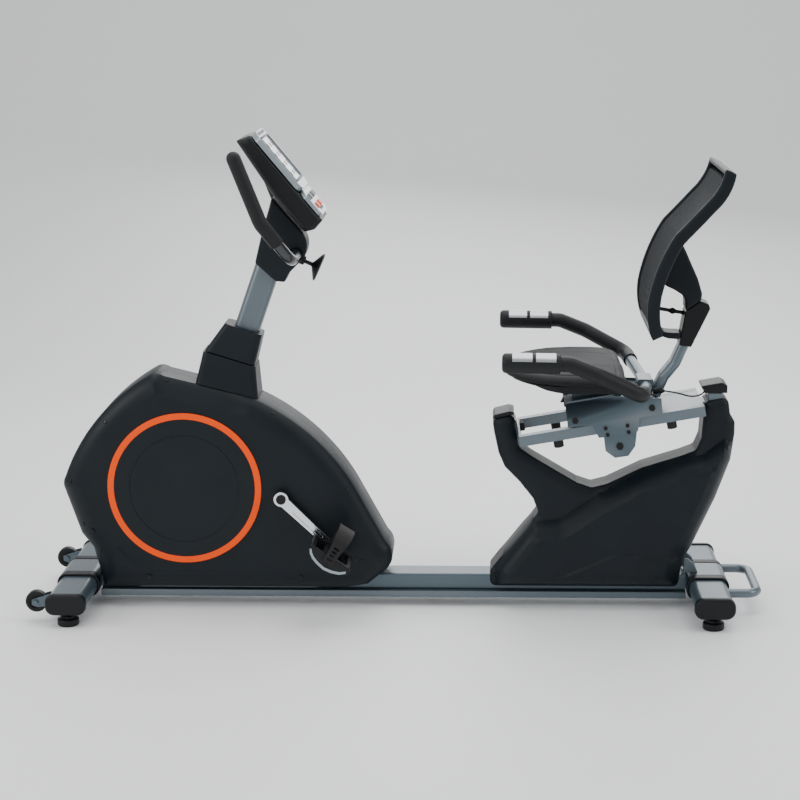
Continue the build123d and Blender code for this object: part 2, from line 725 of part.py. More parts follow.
key_names = ("up", "down", "mode", "reset")
key_places = [(u, y) for u in KEY_ROWS for y in KEY_COLUMNS]
for name, place in zip(key_names, key_places):
    with BuildPart() as key:
        with BuildSketch(face_plane(0, 2)):
            with Locations(place):
                RectangleRounded(*KEY_SIZE, 3)
        extrude(amount=10)
    finish(key, f"button_{name}")

# ---------------------------------------------------------------- rear shroud and uprights
ARM_HALF = 50.0
BODY_HALF = 90.0


def rear_outline():
    """Closed outline of the rear Y-shaped housing in X and Z."""
    Polyline((228, 52), (228, 92), (251, 122), (316, 200))
    ThreePointArc((316, 200), (343, 240), (332, 275))
    Polyline((332, 275), (298, 318))
    ThreePointArc((298, 318), (256, 362), (236, 440))
    Polyline((236, 440), (231, 474), (284, 486), (291, 440))
    ThreePointArc((291, 440), (299, 402), (330, 378))
    Line((330, 378), (438, 316))
    ThreePointArc((438, 316), (475, 303), (512, 313))
    Line((512, 313), (598, 355))
    Line((598, 355), (690, 384))
    ThreePointArc((690, 384), (726, 398), (738, 428))
    Polyline((738, 428), (744, 520), (800, 530), (806, 488), (818, 470), (818, 440), (810, 376),
             (775, 278), (721, 158), (700, 120), (690, 52), (228, 52))


def body_outline():
    """Closed outline of the wide lower body, below the crease lines."""
    Polyline((240, 52), (246, 96), (330, 165), (385, 211), (406, 236), (479, 288), (569, 331),
             (690, 372), (748, 396), (814, 446), (810, 376), (775, 278), (721, 158), (700, 120),
             (690, 52), (240, 52))


with BuildPart() as uprights_clear:
    with BuildSketch(side_plane(0)):
        with BuildLine():
            Polyline((400, 70), (470, 70), (430, 235), (306, 395), (292, 486), (250, 486),
                     (254, 385), (372, 225), close=True)
        make_face()
        with BuildLine():
            Polyline((618, 70), (690, 70), (712, 200), (792, 430), (792, 560), (748, 560),
                     (744, 440), (650, 200), close=True)
        make_face()
        with Locations((748, 508)):
            Rectangle(30, 24)
    extrude(amount=40, both=True)

for side, sign in SIDES:
    with BuildPart() as rear_shroud:
        with BuildSketch(side_plane(0)):
            with BuildLine():
                rear_outline()
            make_face()
        extrude(amount=-sign * ARM_HALF)
        with BuildSketch(side_plane(0)):
            with BuildLine():
                body_outline()
            make_face()
        extrude(amount=-sign * BODY_HALF)
        face = rear_shroud.faces().filter_by(Plane.XZ).sort_by(Axis.Y)[0 if sign < 0 else -1]
        chamfer(face.edges(), 16)
        for sketch_edge, depth in ((rear_outline, ARM_HALF), (body_outline, BODY_HALF)):
            with BuildSketch(side_plane(0)):
                with BuildLine():
                    sketch_edge()
                make_face()
                offset(amount=-4 if depth < 60 else -22, kind=Kind.INTERSECTION)
            extrude(amount=-sign * (depth - 4), mode=Mode.SUBTRACT)
        with Locations((460, 0, 60)):
            Box(700, 2 * BEAM_Y + 1, 41, mode=Mode.SUBTRACT)
        add(uprights_clear.part, mode=Mode.SUBTRACT)
        with BuildSketch(side_plane(sign * BODY_HALF)):
            with BuildLine():
                Polyline((350, 72), (372, 78), (534, 150), (568, 150), (680, 104), (676, 72),
                         close=True)
            make_face()
        extrude(amount=-sign * 2)
    finish(rear_shroud, f"rear_shroud_{side}")

POST_WALL = 3.0
posts = (
    ((405, 80), (465, 80), (426, 233), (302.8, 394), (288.9, 470), (255, 470), (258, 387),
     (376, 227)),
    ((623, 80), (685, 80), (708, 202), (786, 432), (786, 540), (752, 540), (748, 438), (655, 202)),
)
with BuildPart() as uprights:
    for points in posts:
        with BuildSketch(side_plane(-36)):
            with BuildLine():
                Polyline(*points, close=True)
            make_face()
        extrude(amount=-72)
    with BuildSketch(side_plane(-30)):
        with BuildLine():
            Polyline((740.2, 500), (752.3, 500), (752.3, 516), (737.5, 516), close=True)
        make_face()
    extrude(amount=-60)
    for points in posts:
        with BuildSketch(side_plane(-36 + POST_WALL)):
            with BuildLine():
                Polyline(*points, close=True)
            make_face()
            offset(amount=-POST_WALL, kind=Kind.INTERSECTION)
        extrude(amount=-72 + 2 * POST_WALL, mode=Mode.SUBTRACT)
    for sign in (-1, 1):
        with BuildSketch(side_plane(sign * 27)):
            with BuildLine():
                Polyline((704, 80), (710, 86), (740, 86), (731, 108), (716, 122), (704, 122),
                         close=True)
            make_face()
        extrude(amount=-sign * 8)
finish(uprights, "uprights")

with BuildPart() as upright_caps:
    with BuildSketch(side_plane(-44)):
        with BuildLine():
            Polyline((231, 474), (284, 486), (284, 491), (272, 494), (236, 485), close=True)
        make_face()
    extrude(amount=-88)
    with BuildSketch(side_plane(-38)):
        with BuildLine():
            Polyline((742, 540), (742, 549), (736, 552), (736, 557), (785, 566), (798, 558),
                     (798, 540), close=True)
        make_face()
    extrude(amount=-76)
finish(upright_caps, "upright_caps")

# ---------------------------------------------------------------- seat rails
with BuildPart() as seat_rails:
    for sign in (-1, 1):
        with BuildSketch(tilted(RAIL_START, RAIL_ANGLE, sign * RAIL_Y)):
            with Locations((RAIL_LEN / 2, -RAIL_SIZE[1] / 2)):
                Rectangle(RAIL_LEN, RAIL_SIZE[1])
                Rectangle(RAIL_LEN, RAIL_SIZE[1] - 4, mode=Mode.SUBTRACT)
        extrude(amount=RAIL_SIZE[0] / 2, both=True)
        with BuildSketch(tilted(RAIL_START, RAIL_ANGLE, sign * (RAIL_Y - RAIL_SIZE[0] / 2))):
            with Locations((RAIL_LEN / 2, -RAIL_SIZE[1] / 2)):
                Rectangle(RAIL_LEN, RAIL_SIZE[1])
        extrude(amount=-sign * 3)
        with BuildSketch(tilted(RAIL_START, RAIL_ANGLE, sign * (RAIL_Y + RAIL_SIZE[0] / 2 - 3))):
            with Locations((RAIL_LEN / 2, -RAIL_SIZE[1] / 2)):
                Rectangle(RAIL_LEN, RAIL_SIZE[1])
        extrude(amount=-sign * 3)
    inner = RAIL_Y - RAIL_SIZE[0] / 2
    for s0, s1, depth in ((0, 5, 24), (350, 449, 4)):
        with BuildSketch(tilted(RAIL_START, RAIL_ANGLE, -inner)):
            with Locations(((s0 + s1) / 2, -depth / 2 - 0.5)):
                Rectangle(s1 - s0, depth)
        extrude(amount=-2 * inner)
finish(seat_rails, "seat_rails")

with BuildPart() as rail_stops:
    for sign in (-1, 1):
        for s in (92.0, 366.0):
            base = rail_point(s, -RAIL_SIZE[1])
            a = radians(RAIL_ANGLE)
            with BuildSketch(Plane(origin=(base[0], sign * RAIL_Y, base[1]),
                                   x_dir=(cos(a), 0, sin(a)), z_dir=(sin(a), 0, -cos(a)))):
                Circle(12)
            extrude(amount=18)
    with BuildSketch(tilted(RAIL_START, RAIL_ANGLE, -16)):
        with Locations((11, 2)):
            RectangleRounded(12, 20, 3)
    extrude(amount=-32)
finish(rail_stops, "rail_stops")

# ---------------------------------------------------------------- seat carriage
CARRIAGE_Y = 111.0
PLATE_T = 5.0
LEVER_PIN = (448.0, 512.0)
CROSS_TOP = 541.0
roller_s = (139.5, 324.5)
roller_places = [rail_point(s, ROLLER_R + 0.3) for s in roller_s]

with BuildPart() as carriage_frame:
    for sign in (-1, 1):
        # side plate with its inward flange, the brake plate inside it and a seat riser on top
        with BuildSketch(side_plane(sign * CARRIAGE_Y)):
            with BuildLine():
                Polyline((404, 529), (411, 471), (470, 478), (485, 446), (571, 458), (579, 465),
                         (581, 496), (636, 505), (632, 543), (518, 549.1), close=True)
            make_face()
        extrude(amount=-sign * PLATE_T)
        with BuildSketch(tilted((404, 529), RAIL_ANGLE, sign * (CARRIAGE_Y + PLATE_T))):
            with Locations((57.5, 2)):
                Rectangle(115, 4)
        extrude(amount=sign * 75)
        with BuildSketch(side_plane(sign * 107.6)):
            with BuildLine():
                Polyline((496, 458), (502, 413), (525, 396), (557, 401), (573, 425), (577, 470),
                         close=True)
            make_face()
        extrude(amount=-sign * 3.4)
        with BuildSketch(side_plane(sign * 60)):
            with BuildLine():
                Polyline((420, 535.5), (510, 551.4), (510, 568), (420, 568), close=True)
            make_face()
        extrude(amount=-sign * 24)
    # cross tube, rear tube, front cross plate, bar clamp
    for width, x0, x1 in ((CARRIAGE_Y, 540.0, 584.0), (55.0, 584.0, 630.0)):
        with BuildSketch(side_plane(-width)):
            with Locations(((x0 + x1) / 2, (516 + CROSS_TOP) / 2)):
                Rectangle(x1 - x0, CROSS_TOP - 516)
        extrude(amount=-2 * width)
    with BuildSketch(tilted((404, 529), RAIL_ANGLE, -42)):
        with Locations((60, 2)):
            Rectangle(100, 4)
    extrude(amount=-84)
    with BuildSketch(side_plane(-40)):
        with Locations((599, 557)):
            RectangleRounded(38, 33, 6)
    extrude(amount=-80)
    for width, x0, x1 in ((CARRIAGE_Y, 540.0, 584.0), (55.0, 587.0, 627.0)):
        with BuildSketch(side_plane(-width)):
            with Locations(((x0 + x1) / 2, (516 + CROSS_TOP) / 2)):
                Rectangle(x1 - x0 - 6, CROSS_TOP - 522)
        extrude(amount=-2 * width, mode=Mode.SUBTRACT)
    with BuildSketch(side_plane(-60)):
        with Locations((600, 556)):
            Circle(14)
    extrude(amount=-120, mode=Mode.SUBTRACT)
    # ears and pin of the release lever
    for sign in (-1, 1):
        with BuildSketch(side_plane(sign * 10)):
            with BuildLine():
                Polyline((430, 533.5), (466, 539.8), (458, 504), (438, 504), close=True)
            make_face()
        extrude(amount=-sign * 3)
    with BuildSketch(side_plane(-16)):
        with Locations(LEVER_PIN):
            Circle(4)
    extrude(amount=-32)
finish(carriage_frame, "carriage_frame")

with BuildPart() as carriage_fasteners:
    for sign in (-1, 1):
        with BuildSketch(side_plane(sign * (RAIL_Y - 14))):
            with Locations(*roller_places):
                Circle(4)
        extrude(amount=-sign * 31)
        with BuildSketch(side_plane(sign * (CARRIAGE_Y + PLATE_T))):
            with Locations(*roller_places):
                RegularPolygon(8, 6)
            with Locations((501, 470), (506, 454), (553, 477), (556, 461)):
                Circle(4.5)
        extrude(amount=-sign * 4)
        with BuildSketch(side_plane(sign * (CARRIAGE_Y))):
            with Locations((536, 425)):
                RegularPolygon(9, 6)
        extrude(amount=-sign * 6)
finish(carriage_fasteners, "carriage_fasteners")

for place, name in zip(roller_places, ("front", "rear")):
    with BuildPart() as rollers:
        for sign in (-1, 1):
            with BuildSketch(side_plane(sign * (RAIL_Y - 11))):
                with Locations(place):
                    Circle(ROLLER_R)
                    Circle(4 + RUN_FIT, mode=Mode.SUBTRACT)
            extrude(amount=-sign * 22)
    finish(rollers, f"seat_rollers_{name}")

with BuildPart() as seat_lever:
    with BuildSketch(side_plane(-9)):
        with BuildLine():
            Polyline((397, 508), (404, 523), (424, 521), (452, 518), (456, 506), (446, 505),
                     (420, 513), close=True)
        make_face()
        with Locations(LEVER_PIN):
            Circle(7)
            Circle(4 + RUN_FIT, mode=Mode.SUBTRACT)
    extrude(amount=-18)
finish(seat_lever, "seat_lever")

# ---------------------------------------------------------------- seat
SEAT_TOP = 613.0
SEAT_BASE = 585.0


def seat_outline():
    """Half plan outlines mirrored: a wide seat with strongly rounded front corners."""
    for sign in (-1, 1):
        ThreePointArc((258, 0), (281, sign * 115), (341, sign * 180))
        ThreePointArc((341, sign * 180), (388, sign * 199), (440, sign * 205))
        Line((440, sign * 205), (500, sign * 203))
        ThreePointArc((500, sign * 203), (537, sign * 188), (548, sign * 150))
        Line((548, sign * 150), (552, 0))


with BuildPart() as seat_cushion:
    with BuildSketch(Plane.XY.offset(SEAT_BASE)):
        with BuildLine():
            seat_outline()
        make_face()
    extrude(amount=SEAT_TOP - SEAT_BASE)
    chamfer(seat_cushion.faces().sort_by(Axis.Z)[-1].edges(), 11)
finish(seat_cushion, "seat_cushion")

with BuildPart() as seat_pan:
    with BuildSketch(side_plane(-185)):
        with BuildLine():
            Polyline((281, SEAT_BASE), (331, 582), (358, 574), (403, 568), (515, 568), (545, 566),
                     (545, SEAT_BASE), close=True)
        make_face()
    extrude(amount=-370)
    with BuildSketch(Plane.XY.offset(SEAT_BASE)):
        with BuildLine():
            seat_outline()
        make_face()
        offset(amount=-12)
    extrude(amount=-40, mode=Mode.INTERSECT)
finish(seat_pan, "seat_pan")

# ---------------------------------------------------------------- seat handlebar
seat_bar_points = [(266, -GRIP_Y, 662), (405, -GRIP_Y, 660), (470, -GRIP_Y, 634),
                   (572, -265, 582), (600, -60, 556), (600, 60, 556), (572, 265, 582),
                   (470, GRIP_Y, 634), (405, GRIP_Y, 660), (266, GRIP_Y, 662)]
with BuildPart() as seat_handlebar:
    with BuildLine() as seat_path:
        FilletPolyline(*seat_bar_points, radius=34)
    with BuildSketch(Plane(origin=seat_bar_points[0], z_dir=seat_path.line % 0)):
        Circle(SEAT_BAR_R)
        Circle(SEAT_BAR_R - 2, mode=Mode.SUBTRACT)
    sweep()
finish(seat_handlebar, "seat_handlebar")

with BuildPart() as seat_bar_grips:
    for sign in (-1, 1):
        # rigid grip with its closed end, then the foam sleeve down to the seat
        with BuildSketch(Plane(origin=(266, sign * GRIP_Y, 662), z_dir=(-139, 0, 2))):
            Circle(GRIP_R)
        extrude(amount=15)
        with BuildSketch(Plane(origin=(266, sign * GRIP_Y, 662), z_dir=(139, 0, -2))):
            Circle(GRIP_R)
            Circle(SEAT_BAR_R, mode=Mode.SUBTRACT)
        extrude(amount=118)
    fillet(seat_bar_grips.faces().sort_by(Axis.X)[:2].edges(), 10)
    for sign in (-1, 1):
        pts = [Vector(x, -sign * y, z) for x, y, z in seat_bar_points[:5]]
        start = pts[0] + (pts[1] - pts[0]).normalized() * 118
        stop = pts[3] + (pts[4] - pts[3]) * 0.33
        with BuildLine() as foam_path:
            FilletPolyline(start, pts[1], pts[2], pts[3], stop, radius=34)
        with BuildSketch(Plane(origin=start, z_dir=foam_path.line % 0)):
            Circle(SEAT_FOAM_R)
            Circle(SEAT_BAR_R, mode=Mode.SUBTRACT)
        sweep(path=foam_path.line)
finish(seat_bar_grips, "seat_bar_grips")

with BuildPart() as pulse_pads:
    for sign in (-1, 1):
        for start, length in ((8, 46), (62, 46)):
            with BuildSketch(Plane(origin=(266 + start, sign * GRIP_Y, 662 - start / 69.5),
                                   x_dir=(0, 1, 0), z_dir=(139, 0, -2))):
                Circle(GRIP_R + 1.2)
                Circle(GRIP_R, mode=Mode.SUBTRACT)
                with Locations((0, -22)):
                    Rectangle(60, 60, mode=Mode.SUBTRACT)
            extrude(amount=length)
finish(pulse_pads, "pulse_pads")

# ---------------------------------------------------------------- back support and backrest
BACK_PATH = ((626, 530), (646, 576), (673, 610), (700, 674), (731, 745))
with BuildPart() as support_solid:
    with BuildLine(side_plane(0)) as back_path:
        FilletPolyline(*BACK_PATH, radius=24)
    with BuildSketch(Plane(origin=(626, 0, 530), x_dir=(0, 1, 0), z_dir=back_path.line % 0)):
        RectangleRounded(56, 25, 12)
    sweep()

with BuildPart() as back_support:
    with BuildLine(side_plane(0)) as back_path:
        FilletPolyline(*BACK_PATH, radius=24)
    with BuildSketch(Plane(origin=(626, 0, 530), x_dir=(0, 1, 0), z_dir=back_path.line % 0)):
        RectangleRounded(56, 25, 12)
        RectangleRounded(51, 20, 9.5, mode=Mode.SUBTRACT)
    sweep()
    with Locations((600, 0, CROSS_TOP - 12.5)):
        Box(60, 120, 25, mode=Mode.SUBTRACT)
    with Locations((590, 0, 560)):
        Box(56, 120, 40, mode=Mode.SUBTRACT)
finish(back_support, "back_support")

with BuildPart() as block_solid:
    with BuildSketch(side_plane(-34)):
        with BuildLine():
            Polyline((729, 764), (748, 756), (752, 745), (708, 651), (679, 656), (692, 738),
                     close=True)
        make_face()
    extrude(amount=-68)

with BuildPart() as back_block:
    add(block_solid.part)
    with BuildSketch(Plane(origin=(622, 0, 742), x_dir=(0, 1, 0), z_dir=(0.985, 0, -0.17))):
        Circle(5)
    extrude(amount=72)
    with BuildSketch(Plane(origin=(660, 0, 735.4), x_dir=(0, 1, 0), z_dir=(0.985, 0, -0.17))):
        RegularPolygon(9, 6)
    extrude(amount=8)
    add(support_solid.part, mode=Mode.SUBTRACT)
finish(back_block, "back_block")

BACK_HALF = 165.0
BACK_RIM = 12.0
FRONT_LINE = ((762, 1092), (752, 1058), (722, 1015), (686, 976), (650, 938), (616, 872), (595, 805),
              (590, 752), (604, 690))
BACK_LINE = ((788, 1080), (778, 1044), (743, 994), (708, 956), (672, 918), (643, 860), (624, 799),
             (620, 752), (628, 701))


def band(t0, t1, trim=0.0):
    """Outline between two fractions of the backrest's depth, its ends drawn in by trim."""
    rows = []
    for t in (t0, t1):
        row = [(f[0] + (b[0] - f[0]) * t, f[1] + (b[1] - f[1]) * t)
               for f, b in zip(FRONT_LINE, BACK_LINE)]
        for end, near in ((0, 1), (-1, -2)):
            row[end] = (row[end][0] + (row[near][0] - row[end][0]) * trim,
                        row[end][1] + (row[near][1] - row[end][1]) * trim)
        rows.append(row)
    for row in rows:
        for i in range(0, 8, 2):
            ThreePointArc(row[i], row[i + 1], row[i + 2])
    Line(rows[0][0], rows[1][0])
    Line(rows[0][8], rows[1][8])


with BuildPart() as backrest_frame:
    with BuildSketch(side_plane(-BACK_HALF)):
        with BuildLine():
            band(0, 1)
        make_face()
    extrude(amount=-2 * BACK_HALF)
    # arm behind the panel: its upper limb meets the block's top, its lower one the block's foot
    with BuildSketch(side_plane(-34)):
        with BuildLine():
            Polyline((632, 815), (648, 890), (674, 914), (690, 884), (704, 853), (721, 816), (732, 780),
                     (729, 764), (692, 738), (691, 767), (684, 778), (665, 790), (645, 799),
                     close=True)
        make_face()
        with BuildLine():
            Polyline((612, 704), (614, 694), (628, 680), (652, 672), (681.6, 670), (684.5, 686),
                     (664, 686), (642, 688), (634, 702), (620, 722), close=True)
        make_face()
    extrude(amount=-68)
    with BuildSketch(side_plane(-(BACK_HALF - BACK_RIM))):
        with BuildLine():
            band(-0.6, 0.8, 0.36)
        make_face()
    extrude(amount=-2 * (BACK_HALF - BACK_RIM), mode=Mode.SUBTRACT)
    add(block_solid.part, mode=Mode.SUBTRACT)
    add(back_block.part, mode=Mode.SUBTRACT)
finish(backrest_frame, "backrest_frame")

with BuildPart() as backrest_pad:
    with BuildSketch(side_plane(-(BACK_HALF - BACK_RIM - 0.4))):
        with BuildLine():
            band(0.12, 0.8, 0.36)
        make_face()
    extrude(amount=-2 * (BACK_HALF - BACK_RIM - 0.4))
finish(backrest_pad, "backrest_pad")

# ---------------------------------------------------------------- pulse cable
CABLE_R = 2.0
CABLE_POINTS = ((646, -47, 547), (676, -47, 543), (712, -44, 531), (742, -44, 540), (744, -41, 552))
CABLE_RADII = [140, 43, 9]
with BuildPart() as pulse_cable:
    with BuildSketch(Plane.YZ.offset(618)):
        with Locations((-47, 547)):
            Circle(6)
    extrude(amount=28)
    with BuildLine() as cable_path:
        FilletPolyline(*CABLE_POINTS, radius=CABLE_RADII)
    with BuildSketch(Plane(origin=CABLE_POINTS[0], z_dir=cable_path.line % 0)):
        Circle(CABLE_R)
    sweep()
    print("pulse_cable bends, radii", CABLE_RADII, "mm, diameter", 2 * CABLE_R)
finish(pulse_cable, "pulse_cable")
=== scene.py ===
import json
import math

import bmesh
import bpy
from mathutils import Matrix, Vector
from mathutils.geometry import delaunay_2d_cdt


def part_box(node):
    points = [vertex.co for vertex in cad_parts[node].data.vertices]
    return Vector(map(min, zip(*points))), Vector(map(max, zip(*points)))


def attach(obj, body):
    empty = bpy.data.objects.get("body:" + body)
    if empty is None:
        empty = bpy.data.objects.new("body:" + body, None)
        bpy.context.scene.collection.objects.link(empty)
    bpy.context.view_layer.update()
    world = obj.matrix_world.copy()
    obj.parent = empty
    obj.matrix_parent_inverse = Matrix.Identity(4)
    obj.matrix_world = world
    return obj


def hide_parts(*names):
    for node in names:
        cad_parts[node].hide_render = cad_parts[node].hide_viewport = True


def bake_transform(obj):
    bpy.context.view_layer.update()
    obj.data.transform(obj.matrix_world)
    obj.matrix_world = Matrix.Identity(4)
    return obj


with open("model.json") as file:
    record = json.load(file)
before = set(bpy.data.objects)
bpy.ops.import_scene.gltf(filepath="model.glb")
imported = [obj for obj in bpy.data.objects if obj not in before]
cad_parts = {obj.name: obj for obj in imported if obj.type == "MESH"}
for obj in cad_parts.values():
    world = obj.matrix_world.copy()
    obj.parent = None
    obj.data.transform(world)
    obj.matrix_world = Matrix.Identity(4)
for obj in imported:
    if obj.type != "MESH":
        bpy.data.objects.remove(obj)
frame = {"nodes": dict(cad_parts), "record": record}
nodes = frame["nodes"]

# Metres in the CAD frame; the outlines below are in millimetres and divided by 1000 as meshes are made.
CAMERA_AT = (0.2064, -4.6024, 1.5232)
CAMERA_PITCH, CAMERA_YAW = 77.609, 1.177
CAMERA_LENS, CAMERA_SHIFT = 86.86, -0.0543
LIGHT_STRENGTH, BACKDROP_STRENGTH = 0.55, 2.4

# ------------------------------------------------------------------ camera and lights
cam_data = bpy.data.cameras.new("camera")
cam_data.lens = CAMERA_LENS
cam_data.sensor_width = 36.0
cam_data.shift_x = CAMERA_SHIFT
cam = bpy.data.objects.new("camera", cam_data)
bpy.context.scene.collection.objects.link(cam)
cam.location = CAMERA_AT
cam.rotation_euler = (math.radians(CAMERA_PITCH), 0.0, math.radians(CAMERA_YAW))
bpy.context.scene.camera = cam


def area(name, loc, aim, size, power, size_y=None):
    data = bpy.data.lights.new(name, "AREA")
    data.energy = power
    data.shape = "RECTANGLE"
    data.size = size
    data.size_y = size_y or size
    ob = bpy.data.objects.new(name, data)
    bpy.context.scene.collection.objects.link(ob)
    ob.location = loc
    ob.rotation_euler = (Vector(aim) - Vector(loc)).to_track_quat("-Z", "Y").to_euler()


area("key_top", (0.0, 0.1, 3.3), (0, 0, 0.2), 4.2, 100, 3.0)
area("side_left", (-3.2, -1.4, 1.9), (-0.2, 0, 0.5), 1.4, 40)
area("side_right", (3.2, -1.2, 1.9), (0.3, 0, 0.5), 1.4, 34)
area("front_fill", (-1.6, -4.4, 2.4), (0, 0, 0.45), 1.6, 40)
area("back_rim", (0.4, 3.0, 2.4), (0, 0, 0.6), 3.2, 70)

world = bpy.data.worlds.new("world")
bpy.context.scene.world = world
world.use_nodes = True
world.node_tree.nodes["Background"].inputs["Color"].default_value = (1, 1, 1, 1)
world.node_tree.nodes["Background"].inputs["Strength"].default_value = LIGHT_STRENGTH
backdrop = world.node_tree.nodes.new("ShaderNodeBackground")
backdrop.inputs["Color"].default_value = (1, 1, 1, 1)
backdrop.inputs["Strength"].default_value = BACKDROP_STRENGTH
rays = world.node_tree.nodes.new("ShaderNodeLightPath")
choose = world.node_tree.nodes.new("ShaderNodeMixShader")
world.node_tree.links.new(rays.outputs["Is Camera Ray"], choose.inputs["Fac"])
world.node_tree.links.new(world.node_tree.nodes["Background"].outputs["Background"], choose.inputs[1])
world.node_tree.links.new(backdrop.outputs["Background"], choose.inputs[2])
world.node_tree.links.new(choose.outputs["Shader"], world.node_tree.nodes["World Output"].inputs["Surface"])


# ------------------------------------------------------------------ materials
def make_mat(name, color, rough, metal=0.0, grain=0.0, grain_scale=900.0, vary=0.06, coat=0.0,
             edge_highlight=0.0, spec=0.5):
    m = bpy.data.materials.new(name)
    m.use_nodes = True
    nt = m.node_tree
    bsdf = nt.nodes["Principled BSDF"]
    coord = nt.nodes.new("ShaderNodeTexCoord")
    noise = nt.nodes.new("ShaderNodeTexNoise")
    noise.inputs["Scale"].default_value = 9.0
    noise.inputs["Detail"].default_value = 6.0
    nt.links.new(coord.outputs["Object"], noise.inputs["Vector"])
    mix = nt.nodes.new("ShaderNodeMix")
    mix.data_type = "RGBA"
    c = Vector(color[:3])
    mix.inputs[6].default_value = (*(c * (1 - vary)), 1)
    mix.inputs[7].default_value = (*(c * (1 + vary) + Vector((1, 1, 1)) * vary * 0.02), 1)
    nt.links.new(noise.outputs["Fac"], mix.inputs[0])
    last = mix.outputs[2]
    # Painted highlight: convex edges (high pointiness) are mixed towards a lighter grey, standing in for
    # light catching the edges; the amount argument sets its strength.
    if edge_highlight > 0:
        geo = nt.nodes.new("ShaderNodeNewGeometry")
        ramp = nt.nodes.new("ShaderNodeValToRGB")
        ramp.color_ramp.elements[0].position = 0.56
        ramp.color_ramp.elements[1].position = 0.68
        nt.links.new(geo.outputs["Pointiness"], ramp.inputs["Fac"])
        scaled = nt.nodes.new("ShaderNodeMath")
        scaled.operation = "MULTIPLY"
        scaled.inputs[1].default_value = edge_highlight
        nt.links.new(ramp.outputs["Color"], scaled.inputs[0])
        edge_lit = nt.nodes.new("ShaderNodeMix")
        edge_lit.data_type = "RGBA"
        edge_lit.inputs[7].default_value = (*(c * 0.6 + Vector((0.25, 0.25, 0.25))), 1)
        nt.links.new(scaled.outputs[0], edge_lit.inputs[0])
        nt.links.new(last, edge_lit.inputs[6])
        last = edge_lit.outputs[2]
    nt.links.new(last, bsdf.inputs["Base Color"])
    bsdf.inputs["Metallic"].default_value = metal
    bsdf.inputs["Coat Weight"].default_value = coat
    bsdf.inputs["Coat Roughness"].default_value = 0.2
    bsdf.inputs["Specular IOR Level"].default_value = spec
    rmap = nt.nodes.new("ShaderNodeMapRange")
    rmap.inputs["To Min"].default_value = max(0.03, rough - 0.05)
    rmap.inputs["To Max"].default_value = min(1.0, rough + 0.07)
    nt.links.new(noise.outputs["Fac"], rmap.inputs["Value"])
    nt.links.new(rmap.outputs["Result"], bsdf.inputs["Roughness"])
    if grain > 0:
        fine = nt.nodes.new("ShaderNodeTexNoise")
        fine.inputs["Scale"].default_value = grain_scale
        fine.inputs["Detail"].default_value = 2.0
        nt.links.new(coord.outputs["Object"], fine.inputs["Vector"])
        bump = nt.nodes.new("ShaderNodeBump")
        bump.inputs["Strength"].default_value = grain
        bump.inputs["Distance"].default_value = 0.0006
        nt.links.new(fine.outputs["Fac"], bump.inputs["Height"])
        nt.links.new(bump.outputs["Normal"], bsdf.inputs["Normal"])
    return m


def brushed(name, color, rough, stretch=(1, 60, 60)):
    m = make_mat(name, color, rough, metal=1.0, vary=0.08)
    nt = m.node_tree
    coord = nt.nodes.new("ShaderNodeTexCoord")
    mapping = nt.nodes.new("ShaderNodeMapping")
    mapping.inputs["Scale"].default_value = stretch
    noise = nt.nodes.new("ShaderNodeTexNoise")
    noise.inputs["Scale"].default_value = 25.0
    bump = nt.nodes.new("ShaderNodeBump")
    bump.inputs["Strength"].default_value = 0.12
    bump.inputs["Distance"].default_value = 0.0005
    nt.links.new(coord.outputs["Object"], mapping.inputs["Vector"])
    nt.links.new(mapping.outputs["Vector"], noise.inputs["Vector"])
    nt.links.new(noise.outputs["Fac"], bump.inputs["Height"])
    nt.links.new(bump.outputs["Normal"], nt.nodes["Principled BSDF"].inputs["Normal"])
    return m


def woven(name, color, scale=420.0):
    """Knitted mesh: small round holes in staggered rows."""
    m = make_mat(name, color, 0.72, vary=0.1)
    nt = m.node_tree
    bsdf = nt.nodes["Principled BSDF"]
    coord = nt.nodes.new("ShaderNodeTexCoord")
    vor = nt.nodes.new("ShaderNodeTexVoronoi")
    vor.inputs["Scale"].default_value = scale
    vor.inputs["Randomness"].default_value = 0.15
    nt.links.new(coord.outputs["Object"], vor.inputs["Vector"])
    ramp = nt.nodes.new("ShaderNodeValToRGB")
    ramp.color_ramp.elements[0].position = 0.25
    ramp.color_ramp.elements[1].position = 0.55
    nt.links.new(vor.outputs["Distance"], ramp.inputs["Fac"])
    mix = nt.nodes.new("ShaderNodeMix")
    mix.data_type = "RGBA"
    mix.inputs[6].default_value = (*(Vector(color[:3]) * 0.35), 1)
    mix.inputs[7].default_value = (*(Vector(color[:3]) * 1.5), 1)
    nt.links.new(ramp.outputs["Color"], mix.inputs[0])
    nt.links.new(mix.outputs[2], bsdf.inputs["Base Color"])
    bump = nt.nodes.new("ShaderNodeBump")
    bump.inputs["Strength"].default_value = 0.5
    bump.inputs["Distance"].default_value = 0.0008
    nt.links.new(ramp.outputs["Color"], bump.inputs["Height"])
    nt.links.new(bump.outputs["Normal"], bsdf.inputs["Normal"])
    bsdf.inputs["Specular IOR Level"].default_value = 0.1
    return m


def leather(name, color):
    m = make_mat(name, color, 0.58, vary=0.12, spec=0.22)
    nt = m.node_tree
    bsdf = nt.nodes["Principled BSDF"]
    coord = nt.nodes.new("ShaderNodeTexCoord")
    vor = nt.nodes.new("ShaderNodeTexVoronoi")
    vor.feature = "DISTANCE_TO_EDGE"
    vor.inputs["Scale"].default_value = 380.0
    nt.links.new(coord.outputs["Object"], vor.inputs["Vector"])
    ramp = nt.nodes.new("ShaderNodeValToRGB")
    ramp.color_ramp.elements[1].position = 0.12
    nt.links.new(vor.outputs["Distance"], ramp.inputs["Fac"])
    bump = nt.nodes.new("ShaderNodeBump")
    bump.inputs["Strength"].default_value = 0.35
    bump.inputs["Distance"].default_value = 0.0005
    nt.links.new(ramp.outputs["Color"], bump.inputs["Height"])
    nt.links.new(bump.outputs["Normal"], bsdf.inputs["Normal"])
    return m
